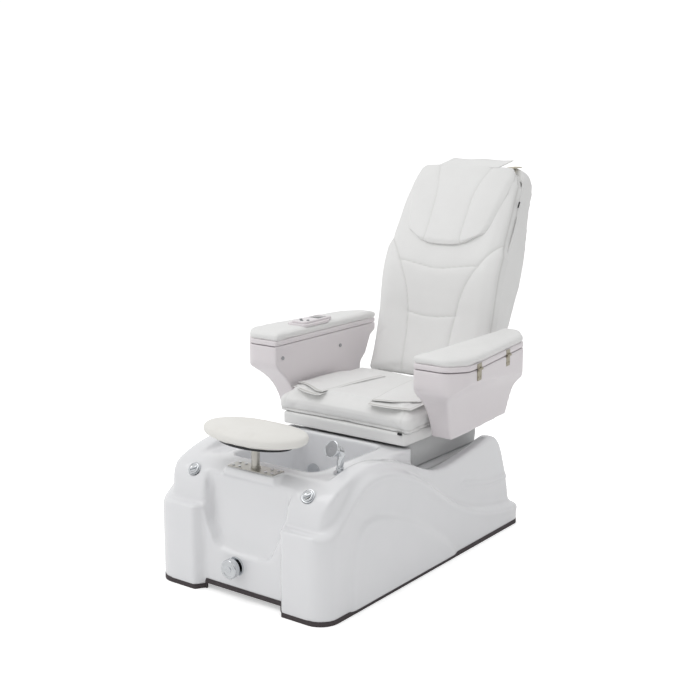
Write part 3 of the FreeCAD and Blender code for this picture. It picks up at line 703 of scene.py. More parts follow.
def puffed(piece: bpy.types.Object, pressure: float, cap: float,
           rounds: int = 1) -> bpy.types.Object:
    """Swell a pad as stuffed cloth, then give it a finer skin.

    Args:
        piece: The pad, remeshed, a little smaller than it will be.
        pressure: Air pressure inside the cloth.
        cap: Furthest that a point may move, in millimetres.
        rounds: Times the swollen cloth is relaxed.

    Returns:
        The same piece.
    """
    before = points(piece)
    choose(piece)
    cloth = piece.modifiers.new("Cloth", "CLOTH")
    cloth.settings.use_pressure = True
    cloth.settings.uniform_pressure_force = pressure
    cloth.settings.effector_weights.gravity = 0
    cloth.settings.quality = 4
    for step in range(1, CLOTH_FRAMES + 1):
        bpy.context.scene.frame_set(step)
    bpy.ops.object.modifier_apply(modifier=cloth.name)
    bpy.context.scene.frame_set(1)
    shift = points(piece) - before
    reach = np.maximum(np.linalg.norm(shift, axis=1), 1e-9)
    move_points(piece, before + shift * np.minimum(1, cap * MM / reach)[:, None])
    modified(piece, "SMOOTH", factor=0.5, iterations=rounds)
    modified(piece, "SUBSURF", levels=1, render_levels=1)
    return piece


def mirrored(piece: bpy.types.Object, name: str) -> bpy.types.Object:
    """Copy a piece to the other side of the chair.

    Args:
        piece: The piece to copy.
        name: Name of the copy.

    Returns:
        The copy, mirrored across the middle.
    """
    twin = bpy.data.objects.new(name, piece.data.copy())
    bpy.context.scene.collection.objects.link(twin)
    twin.data.transform(Matrix.Scale(-1, 4, (1, 0, 0)))
    twin.data.flip_normals()
    return twin


def tube(name: str, route: Sequence[Sequence[float]], radii: Sequence[float],
         resolution: int = 8) -> bpy.types.Object:
    """Model a round bar along a smooth route with a radius at each of its points.

    Args:
        name: Name of the piece.
        route: Points that guide it.
        radii: Radius at each point.
        resolution: Faces round a quarter of it.

    Returns:
        The new piece, as a closed mesh.
    """
    curve = bpy.data.curves.new(name, "CURVE")
    curve.dimensions = "3D"
    curve.bevel_depth = 1.0
    curve.bevel_resolution = resolution
    curve.use_fill_caps = True
    spline = curve.splines.new("NURBS")
    spline.points.add(len(route) - 1)
    for point, place, radius in zip(spline.points, route, radii):
        point.co = (*place, 1)
        point.radius = radius
    spline.order_u = 3
    spline.use_endpoint_u = True
    piece = bpy.data.objects.new(name, curve)
    bpy.context.scene.collection.objects.link(piece)
    choose(piece)
    bpy.ops.object.convert(target="MESH")
    with editing(piece):
        bpy.ops.mesh.remove_doubles(threshold=0.01 * MM)
        bpy.ops.mesh.normals_make_consistent(inside=False)
    return smooth_faces(bpy.context.object, 50)


class Spine:
    """A smooth line in the chair's side view that a pad made flat is wrapped along."""

    def __init__(self, corners: Sequence[Pair]) -> None:
        """Measure the line.

        Args:
            corners: Points (y, z) in millimetres, from the bottom up.
        """
        self.line = smooth_line(np.array(corners) * MM, 24)
        runs = np.linalg.norm(np.diff(self.line, axis=0), axis=1)
        self.along = np.concatenate([[0], np.cumsum(runs)])
        self.length = float(self.along[-1])
        slope = np.gradient(self.line, self.along, axis=0)
        self.slope = slope / np.linalg.norm(slope, axis=1)[:, None]

    def wrap(self, flat: np.ndarray) -> np.ndarray:
        """Carry points from the flat on to the line.

        Args:
            flat: Across, along and out of the pad, one row each.

        Returns:
            Places in the chair's frame.
        """
        held = np.clip(flat[:, 1], 0, self.length)
        y, z = (np.interp(held, self.along, self.line[:, i]) for i in (0, 1))
        sy, sz = (np.interp(held, self.along, self.slope[:, i]) for i in (0, 1))
        beyond, out = flat[:, 1] - held, flat[:, 2]
        return np.column_stack([flat[:, 0], y + sy * beyond - sz * out, z + sz * beyond + sy * out])


class Shop:
    """Where pieces are finished: dressed, put on their bodies and reported."""

    def __init__(self) -> None:
        """Open the shop with a full palette."""
        self.palette = Palette()

    def done(self, piece: bpy.types.Object, surface: Surface, body: str, slot: str,
             replaces: Sequence[str] = ()) -> bpy.types.Object:
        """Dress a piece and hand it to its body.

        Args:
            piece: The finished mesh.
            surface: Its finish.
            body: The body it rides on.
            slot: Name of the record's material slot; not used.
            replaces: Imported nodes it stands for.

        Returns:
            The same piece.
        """
        self.palette.dress(piece, surface)
        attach(piece, body)
        if replaces:
            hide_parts(*replaces)
        log.info("%s on %s: %d faces", piece.name, body, len(piece.data.polygons))
        return piece


# ---- base -----------------------------------------------------------------------------------

@dataclass
class FootBath:
    """Moulded base with its bath, taken as one gelcoat skin."""

    shop: Shop
    voxel: float = 6.5
    rounds: int = 6
    trim_top: float = 17.0
    side: float = 380.0
    # Shares of full size at which the shell is repeated inside itself, to thicken steep walls.
    backing: Sequence[float] = (0.996, 0.992, 0.988)
    middle: Triple = (0.0, -0.133, 0.0)
    bath_backing: Sequence[float] = (1.01, 1.02)
    bath_middle: Triple = (0.0, -0.392, 0.45)
    # Block under the footrest's plate: its overlap across and along, and its depth.
    brow: Triple = (16.0, 12.0, 30.0)
    # Rounds of extra smoothing over the whole upper part, and along the ridge.
    upper_rounds: int = 12
    ridge_rounds: int = 40
    # Ridge of the flank, where the lower band steps in to the upper body.
    ridge: Sequence[Pair] = ((-790, 305), (-740, 306), (-690, 335), (-620, 398), (-545, 444),
                             (-454, 450), (-350, 428), (-207, 362), (-10, 232), (202, 137),
                             (360, 100), (513, 84))
    ridge_reach: float = 34.0
    # Right half of the scoop's outline in the toe panel, from its foot up.
    scoop: Sequence[Pair] = ((0, 170), (66, 171), (102, 182), (132, 214), (150, 252), (164, 300),
                             (172, 360), (176, 480))
    scoop_depth: float = 9.0
    lip_drop: float = 26.0
    widen: float = 20.0
    # Raised panel on each flank, drawn from the floor over its crown and down behind.
    panel: Sequence[Pair] = ((-634, -30), (-632, 110), (-622, 215), (-589, 286), (-520, 306),
                             (-411, 280), (-300, 236), (-223, 197), (-120, 130), (-21, 60),
                             (60, -30))
    panel_rise: float = 9.0
    panel_slope: float = 17.0
    # Short crease below each rear wing.
    crease: Sequence[Pair] = ((110, 258), (190, 240), (283, 219), (370, 214), (452, 208))
    crease_rise: float = 7.0
    crease_slope: float = 12.0
    # How far the lower band swells under the ridge, how far below it, and how widely.
    lip_rise: float = 5.0
    lip_drop_below: float = 16.0
    lip_spread: float = 18.0
    # How far the foot of the moulding is drawn down behind the rubber edge.
    foot_drop: float = 5.0

    def build(self) -> None:
        """Model the moulding."""
        self.moulding()

    def moulding(self) -> None:
        """Cover shell and bath with one skin and press the flank features into it."""
        piece = skinned(joined("base_moulding", *self.layers()), self.voxel * MM, self.rounds)
        self.soften(piece)
        self.deepen_scoop(piece)
        self.press_flanks(piece)
        self.shop.done(piece, Surface.GELCOAT, "base", "gelcoat", ("base_shell", "foot_basin"))

    def layers(self) -> list[bpy.types.Object]:
        """Copy shell and bath, and thicken them where they are thinner than a voxel.

        Returns:
            The copies and the block under the footrest's plate, ready to be joined.
        """
        layers = [from_nodes("base_moulding", "base_shell", "foot_basin")]
        for node, middle, shares in (("base_shell", self.middle, self.backing),
                                     ("foot_basin", self.bath_middle, self.bath_backing)):
            for share in shares:
                layer = from_nodes("backing", node)
                layer.data.transform(Matrix.Translation(middle) @ Matrix.Scale(share, 4)
                                     @ Matrix.Translation(-Vector(middle)))
                layers.append(layer)
        low, high = (Vector(corner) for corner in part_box("footrest_plate"))
        across, along, deep = self.brow
        grow = Vector((across, along, 0)) * MM
        layers.append(block("brow", low - grow - Vector((0, 0, deep * MM)),
                            Vector((high.x, high.y, low.z + 1.5 * MM)) + grow))
        return layers

    def press_flanks(self, piece: bpy.types.Object) -> None:
        """Press the raised panel, the crease and the lip into both flanks.

        Args:
            piece: The skinned moulding.
        """
        places = points(piece)
        low = self.trim_top * MM
        places[:, 2] -= self.foot_drop * MM * (1 - ease(places[:, 2], low, low + 50 * MM))
        flat = places[:, 1:]
        outline = smooth_line(np.array(self.panel) * MM)
        inside = self.within(outline, flat)
        gap = distance_to(outline, flat) * np.where(inside, 1, -1)
        slope = self.panel_slope * MM
        rise = self.panel_rise * MM * ease(gap, -slope, slope)
        crease = smooth_line(np.array(self.crease) * MM)
        gap = distance_to(crease, flat)
        rise += self.crease_rise * MM * np.exp(-(gap / (self.crease_slope * MM)) ** 2)
        ridge = smooth_line(np.array(self.ridge) * MM)
        under = places[:, 2] - np.interp(places[:, 1], ridge[:, 0], ridge[:, 1])
        lip = np.exp(-((under / MM + self.lip_drop_below) / self.lip_spread) ** 2)
        rise += self.lip_rise * MM * lip * ease(places[:, 1], -740 * MM, -600 * MM)
        flank = ease(np.abs(places[:, 0]), (self.side - 40) * MM, (self.side - 22) * MM)
        places[:, 0] += np.sign(places[:, 0]) * rise * flank
        move_points(piece, places)

    def soften(self, piece: bpy.types.Object) -> None:
        """Round the towers and the scoop a little, and the ridge a lot.

        Args:
            piece: The skinned moulding.
        """
        places = points(piece)
        above = ease(places[:, 2], 24 * MM, 70 * MM)
        softened(piece, 0.9 * above, self.upper_rounds)
        places = points(piece)
        gap = distance_to(smooth_line(np.array(self.ridge) * MM), places[:, 1:])
        band = np.exp(-(gap / (self.ridge_reach * MM)) ** 2)
        band *= ease(np.abs(places[:, 0]), 325 * MM, 345 * MM)
        softened(piece, np.clip(band, 0, 1), self.ridge_rounds)

    def deepen_scoop(self, piece: bpy.types.Object) -> None:
        """Widen the scoop in the toe panel, lower its lip and sink its floor.

        Args:
            piece: The skinned moulding.
        """
        places = points(piece)
        half = np.array(self.scoop) * MM
        outline = np.vstack([half, (half * (-1, 1))[::-1]])
        flat = np.column_stack([places[:, 0], places[:, 2]])
        gap = distance_to(outline, flat) * np.where(self.within(outline, flat), 1, -1)
        front = 1 - ease(places[:, 1], -700 * MM, -660 * MM)
        inner = 1 - ease(np.abs(places[:, 0]), 150 * MM, 185 * MM)
        drop = np.exp(-((places[:, 2] - 205 * MM) / (60 * MM)) ** 2)
        places[:, 2] -= front * inner * self.lip_drop * MM * drop
        wide = np.exp(-((np.abs(places[:, 0]) - 130 * MM) / (30 * MM)) ** 2)
        tall = ease(places[:, 2], 200 * MM, 270 * MM)
        tall *= 1 - ease(places[:, 2], 380 * MM, 440 * MM)
        places[:, 0] += np.sign(places[:, 0]) * front * wide * tall * self.widen * MM
        below = 1 - ease(places[:, 2], 330 * MM, 420 * MM)
        places[:, 1] += front * below * self.scoop_depth * MM * ease(gap, -4 * MM, 18 * MM)
        move_points(piece, places)

    @staticmethod
    def within(outline: np.ndarray, flat: np.ndarray) -> np.ndarray:
        """Say which points lie inside a closed outline.

        Args:
            outline: Corners of the outline.
            flat: Points to test.

        Returns:
            True for each point inside.
        """
        inside = np.zeros(len(flat), bool)
        u, v = flat.T
        for (u0, v0), (u1, v1) in zip(outline, np.roll(outline, -1, axis=0)):
            if v0 == v1:
                continue
            crosses = (v0 > v) != (v1 > v)
            inside ^= crosses & (u < u0 + (v - v0) * (u1 - u0) / (v1 - v0))
        return inside


@dataclass
class DeckFittings:
    """Turning caps, drain knob, hand shower and footrest pad."""

    shop: Shop
    cap_centre: Triple = (254.0, -703.5, 411.0)
    cap_tilt: float = 48.0
    knob_centre: Triple = (-28.0, -766.0, 115.0)
    shower_foot: Pair = (258.0, -536.0)
    head_axis: Triple = (-0.154, -0.9, 0.407)

    def build(self) -> None:
        """Model each fitting."""
        for sign, side in zip((-1, 1), SIDES):
            self.cap(sign, side)
        self.drain_knob()
        self.shower()
        self.footrest()

    def cap(self, sign: int, side: str) -> None:
        """Chrome turning cap with a dished face and a grip bar.

        Args:
            sign: -1 for the right tower, 1 for the left.
            side: Name of that side.
        """
        tilt = np.radians(self.cap_tilt)
        axis = Vector((0, -np.sin(tilt), np.cos(tilt)))
        x, y, z = self.cap_centre
        centre = Vector((sign * x, y, z)) * MM
        disc = turned("cap", [(r * MM, h * MM) for r, h in
                              ((18, -1.5), (20.4, -1), (21, 0), (21, 4.5), (20, 6.6), (18.4, 7.5),
                               (16.6, 7.4), (15.4, 6.3), (14, 5.6), (1, 5.2))], centre, axis)
        stem = turned("stem", [(8.5 * MM, -40 * MM), (8.5 * MM, 0)], centre, axis, 32)
        bar = block("bar", (-14.5 * MM, -3.4 * MM, 5 * MM), (14.5 * MM, 3.4 * MM, 9.2 * MM),
                    1.8 * MM)
        bar.data.transform(Matrix.Translation(centre)
                           @ Vector((0, 0, 1)).rotation_difference(axis).to_matrix().to_4x4()
                           @ Matrix.Rotation(np.radians(35), 4, "Z"))
        piece = joined(f"control_knob_{side}", disc, stem, smooth_faces(bar))
        self.shop.done(piece, Surface.CHROME, f"control_cap_{side}", "chrome",
                       (f"control_cap_{side}",))

    def drain_knob(self) -> None:
        """Turned drain knob with a fluted grip and a dished face."""
        centre = Vector(self.knob_centre) * MM
        grip = turned("grip", [(r * MM, h * MM) for r, h in
                               ((10.5, -45), (10.5, -1), (30, -0.6), (33, 0.6), (34, 2.5),
                                (34, 19), (33.2, 21.5), (31.5, 23.2), (29, 23.9), (26, 23.8),
                                (24, 22.4), (20, 21.6), (1, 21.2))], centre, (0, -1, 0), 96)
        places = points(grip)
        out = places - np.array(centre)
        turn = np.arctan2(out[:, 2], out[:, 0])
        wide = np.hypot(out[:, 0], out[:, 2])
        flute = 0.9 * MM * np.clip(np.cos(turn * 24), 0, 1) * (wide > 33.5 * MM)
        places[:, 0] -= np.cos(turn) * flute
        places[:, 2] -= np.sin(turn) * flute
        move_points(grip, places)
        boss = turned("boss", [(r * MM, h * MM) for r, h in
                               ((11, 20), (11, 22.6), (10, 23.6), (8, 24), (1, 24))],
                      centre, (0, -1, 0), 48)
        self.shop.done(joined("drain_handle", grip, boss), Surface.CHROME, "drain_knob",
                       "chrome", ("drain_knob",))

    def shower(self) -> None:
        """Hand shower: swept handle, bell head, and a grey spray face with its nozzles."""
        x, y = self.shower_foot
        low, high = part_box("shower_face")
        face = (Vector(low) + Vector(high)) / 2
        axis = Vector(self.head_axis).normalized()
        route = [(x, y, 458), (x, y, 478), (x + 3, y + 4, 498), (x + 3, y + 4, 516),
                 (x - 3, y - 3, 530), (x - 8, y - 8, 531)]
        handle = tube("handle", [Vector(p) * MM for p in route],
                      [r * MM for r in (11, 12, 13, 14, 15, 13)])
        nut = turned("nut", [(r * MM, h * MM) for r, h in
                             ((12, 0), (14, 1), (14, 9), (12.6, 10.5), (11, 11))],
                     Vector((x, y, 458)) * MM, (0, 0, 1), 8)
        head = turned("head", [(r * MM, h * MM) for r, h in
                               ((5, -34), (13, -32), (20, -25), (26, -13), (29, -4.5),
                                (30, -1.4), (29.5, 0), (27, 0.7), (25.8, -0.6))],
                      face, axis, 64)
        self.shop.done(joined("shower_body", handle, nut, head), Surface.CHROME, "shower",
                       "chrome", ("shower_handle",))
        plate = turned("plate", [(r * MM, h * MM) for r, h in
                                 ((25.6, -1.4), (25.6, 0.2), (24.4, 0.9), (8, 1.4), (7, 0.9),
                                  (5.5, 0.9), (4.5, 1.5), (0.5, 1.6))], face, axis, 64)
        nozzles = [plate]
        turn = Vector((0, 0, 1)).rotation_difference(axis)
        for ring, count in ((12.5, 10), (19.0, 16)):
            for step in range(count):
                angle = 2 * np.pi * step / count
                place = Vector((ring * np.cos(angle), ring * np.sin(angle), 0.6)) * MM
                place.rotate(turn)
                nozzles.append(turned("nozzle", [(1.1 * MM, 0), (0.9 * MM, 1.2 * MM),
                                                 (0.5 * MM, 1.4 * MM)], face + place, axis, 8))
        self.shop.done(joined("shower_spray_face", *nozzles), Surface.GREY_ABS, "shower",
                       "grey_plastic", ("shower_face",))

    def footrest(self) -> None:
        """Foam pad of the footrest, swollen a little and thinner towards its rim."""
        pad = skinned(from_nodes("footrest_cushion", "footrest_pad"), 5.5 * MM, 3)
        puffed(pad, 3.0, 5.0, 2)
        places = points(pad)
        low, high = (np.array(corner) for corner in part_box("footrest_pad"))
        middle, half = (low + high) / 2, (high - low) / 2
        reach = (places.max(axis=0) - places.min(axis=0)) / 2
        centre = (places.max(axis=0) + places.min(axis=0)) / 2
        places[:, :2] = middle[:2] + (places - centre)[:, :2] * (half / reach)[:2]
        out = np.hypot(*((places[:, :2] - middle[:2]) / half[:2]).T)
        thin = 1.0 - 0.36 * ease(out, 0.4, 1.0)
        places[:, 2] = middle[2] + (places[:, 2] - middle[2]) * thin
        move_points(pad, places)
        self.shop.done(pad, Surface.IVORY_VINYL, "footrest_pad", "ivory_vinyl",
                       ("footrest_pad",))


# ---- seat -----------------------------------------------------------------------------------

@dataclass
class SeatGroup:
    """Cushion, side flaps, seat box and the vinyl pedestal under it."""

    shop: Shop
    swell: float = 22.0
    # Depth of the valley down the cushion's middle and of the dish behind it.
    dip: float = 5.0
    # Level above the cushion's foot, and how far its side is drawn in there.
    foot_round: Sequence[Sequence[float]] = ((0, 5, 14, 40, 66, 90), (5, 1, 0, 0, 6, 22))
    flap_thick: float = 3.6
    flap_lift: float = 5.0
    flap_inner: Pair = (110.0, 60.0)
    # Front edges of the lower and the upper layer of each flap, from the inner tip outwards.
    flap_fronts: dict = field(default_factory=lambda: {
        -1: (((110, -168), (124, -184), (160, -181), (215, -160), (287, -113)),
             ((112, -158), (130, -166), (160, -153), (205, -127), (284, -84))),
        1: (((106, -168), (124, -184), (165, -189), (222, -179), (284, -146)),
            ((108, -154), (135, -158), (170, -154), (210, -136), (270, -72)))})

    def build(self) -> None:
        """Model each piece of the seat."""
        cushion = self.cushion()
        depth = bpy.context.evaluated_depsgraph_get()
        self.under = BVHTree.FromObject(cushion, depth)
        for sign, side in zip((-1, 1), SIDES):
            self.flap(sign, side)
        self.box()
        self.pedestal()

    def cushion(self) -> bpy.types.Object:
        """Deep seat cushion with a full front roll and a shallow valley down its middle.

        Returns:
            The cushion, for the flaps to lie on.
        """
        low, high = (np.array(corner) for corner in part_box("seat_cushion"))
        inset = np.array((8, 6, 6)) * MM
        pad = block("seat_cushion_cover", low + inset, high - inset, 30 * MM, 5)
        skinned(pad, 7 * MM, 2)
        puffed(pad, 4.0, self.swell)
        places = points(pad)
        span = high - low
        across = (places[:, 0] - (low[0] + high[0]) / 2) / (span[0] / 2)
        along = (places[:, 1] - low[1]) / span[1]
        top = ease(places[:, 2], low[2] + 0.55 * span[2], high[2] - 4 * MM)
        valley = self.dip * MM * np.exp(-(across / 0.3) ** 2) * ease(along, 0.03, 0.35)
        dish = self.dip * MM * ease(along, 0.2, 0.6)
        places[:, 2] -= top * (valley + dish)
        self.square(places, low, high)
        floor = low[2] + 1.5 * MM
        places[:, 2] = np.where(places[:, 2] < floor, floor, places[:, 2])
        ceiling = high[2] + 3 * MM
        over = places[:, 2] - ceiling
        places[:, 2] = np.where(over > 0, ceiling + over * 0.15, places[:, 2])
        limit = 8 * MM
        for axis in (0, 1):
            places[:, axis] = np.clip(places[:, axis], low[axis] - limit, high[axis] + limit)
        move_points(pad, places)
        self.tuck(pad, low, high)
        self.shop.done(pad, Surface.WHITE_VINYL, "seat", "white_vinyl", ("seat_cushion",))
        return pad

    def square(self, places: np.ndarray, low: np.ndarray, high: np.ndarray) -> None:
        """Press the foot of the cushion out to its full plan, as over a stiff base.

        Args:
            places: Points of the cushion, moved in place.
            low: Low corner of the cushion's box.
            high: High corner of the cushion's box.
        """
        level = (places[:, 2] - low[2]) / MM
        steps = np.arange(4, 92, 8)
        hold = 1 - ease(level, 50, 84)
        for axis in (0, 1):
            middle = (low[axis] + high[axis]) / 2
            off = places[:, axis] - middle
            for sign, grow in ((-1, 7 * MM), (1, (7 - 4 * axis) * MM)):
                side = sign * off
                widest = np.array([side[np.abs(level - step) < 6].max() for step in steps])
                full = (high[axis] - low[axis]) / 2 + grow
                target = full - np.interp(level, self.foot_round[0], self.foot_round[1]) * MM
                share = target / np.interp(level, steps, widest)
                stretch = 1 + hold * (share - 1)
                places[:, axis] = np.where(side > 0, middle + off * stretch, places[:, axis])

    def rest(self, x: np.ndarray, y: np.ndarray, least: float) -> np.ndarray:
        """Height at which a stiff padded cloth lies on the cushion.

        Args:
            x: Places across.
            y: Places along.
            least: Lowest level that the cloth follows.

        Returns:
            One height for each place, on a smooth quadratic surface.
        """
        terms = np.column_stack([np.ones(len(x)), x, y, x * x, x * y, y * y])
        picks = np.arange(0, len(x), 7)
        found = [self.under.ray_cast(Vector((x[i], y[i], 1)), Vector((0, 0, -1)))[0]
                 for i in picks]
        heights = np.array([max(hit.z, least) if hit else least for hit in found])
        shape = np.linalg.lstsq(terms[picks], heights, rcond=None)[0]
        return terms @ shape

    def tuck(self, pad: bpy.types.Object, low: np.ndarray, high: np.ndarray) -> None:
        """Draw in the side seams: one above the foot of the cushion and one at each corner.

        Args:
            pad: The cushion.
            low: Low corner of its box.
            high: High corner of its box.
        """
        places = points(pad)
        out = points(pad, "normal")
        level = places[:, 2] - low[2]
        side = 1 - np.abs(out[:, 2])
        groove = np.exp(-((level - 14 * MM) / (3.2 * MM)) ** 2) * side
        corner = np.abs(np.abs(places[:, 0]) - (high[0] - 30 * MM))
        front = ease(-places[:, 1], -low[1] - 60 * MM, -low[1] - 20 * MM)
        fold = np.exp(-(corner / (4 * MM)) ** 2) * front * ease(level, 15 * MM, 50 * MM) * 0.6
        amount = groove * 4 * MM + fold * 3 * MM
        move_points(pad, places - out * amount[:, None])
        # Painted shade in the side seam's groove and in the corner folds.
        mark_groove_shade(pad, 0.3 * groove + 0.12 * fold)

    def flap(self, sign: int, side: str) -> None:
        """Two thin padded layers with piped edges that lie on the cushion beside the thigh.

        Args:
            sign: -1 for the right side, 1 for the left.
            side: Name of that side.
        """
        low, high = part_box(f"seat_flap_{side}")
        base, rear = low[2], high[1]
        layers = []
        for level, corners in enumerate(self.flap_fronts[sign]):
            thick = self.flap_thick * MM
            pad = block("layer", (0, 0, 0), (1, 1, 1))
            with editing(pad):
                bpy.ops.mesh.subdivide(number_cuts=44)
            unit = points(pad)
            line = smooth_line(np.array(corners) * MM)
            tip, tail = self.flap_inner[0] * MM, self.flap_inner[1] * MM
            outer = line[-1, 0]
            reach = tip + unit[:, 0] * (outer - tip)
            front = np.interp(reach, line[:, 0], line[:, 1])
            y = front + unit[:, 1] * (rear - front)
            inner = tip + (tail - tip) * unit[:, 1]
            x = inner + unit[:, 0] * (outer - inner)
            edge = np.minimum.reduce([unit[:, 0] * 190, (1 - unit[:, 0]) * 190,
                                      unit[:, 1] * 340, (1 - unit[:, 1]) * 340])
            swell = np.sqrt(np.clip(1 - (1 - np.clip(edge / 6, 0, 1)) ** 2, 0, 1))
            bead = np.exp(-((edge - 2.5) / 1.8) ** 2)
            seam = np.exp(-((edge - 7) / 1.8) ** 2)
            height = (unit[:, 2] - 0.5) * thick * (0.3 + 0.7 * swell + 0.25 * bead - 0.45 * seam)
            curl = level * self.flap_lift * MM * (1 - ease(unit[:, 1], 0.0, 0.22))
            wave = 0.5 * MM * np.sin(9 * unit[:, 0] + 4 * level) * (1 - unit[:, 1])
            ground = self.rest(sign * x, y, base - 9 * MM) + 1.2 * MM
            ground -= 2 * MM * (1 - ease(unit[:, 0], 0.0, 0.12))
            z = ground + (level + 0.5) * thick + height + curl + wave * level
            move_points(pad, np.column_stack([sign * x, y, z]))
            if sign < 0:
                pad.data.flip_normals()
            # Painted shade in the groove of the sewn line inside the piped edge.
            mark_groove_shade(pad, 0.55 * seam * (unit[:, 1] < 0.97))
            layers.append(smooth_faces(pad, 60))
        piece = joined(f"seat_side_flap_{side}", *layers)
        self.shop.done(piece, Surface.WHITE_VINYL, "seat", "white_vinyl", (f"seat_flap_{side}",))

    def box(self) -> None:
        """Vinyl-covered seat box with soft edges, and the zip end at its front corner."""
        piece = skinned(from_nodes("seat_box_cover", "seat_box"), 5 * MM, 4)
        self.shop.done(piece, Surface.WHITE_VINYL, "seat", "arm_plastic", ("seat_box",))
        low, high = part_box("seat_box")
        x, y, z = high[0] - 22 * MM, low[1] - 1 * MM, high[2]
        tab = block("zip_end", (x - 9 * MM, y - 5 * MM, z - 5 * MM),
                    (x + 9 * MM, y + 2 * MM, z + 4 * MM), 2 * MM)
        self.shop.done(smooth_faces(tab), Surface.BLACK_NYLON, "seat", "black_plastic")

    def pedestal(self) -> None:
        """Loose vinyl skirt round the slide, with slack folds."""
        piece = skinned(from_nodes("pedestal_skirt", "pedestal_cover"), 6 * MM, 3)
        places = points(piece)
        level = places[:, 2]
        out = places[:, :2] / np.maximum(np.linalg.norm(places[:, :2], axis=1), 1e-6)[:, None]
        sway = 2.2 * MM * np.sin(level * 62 + places[:, 0] * 5 + places[:, 1] * 4)
        places[:, :2] += out * sway[:, None]
        move_points(piece, places)
        self.shop.done(piece, Surface.GREY_VINYL, "base", "grey_vinyl", ("pedestal_cover",))


# ---- back -----------------------------------------------------------------------------------

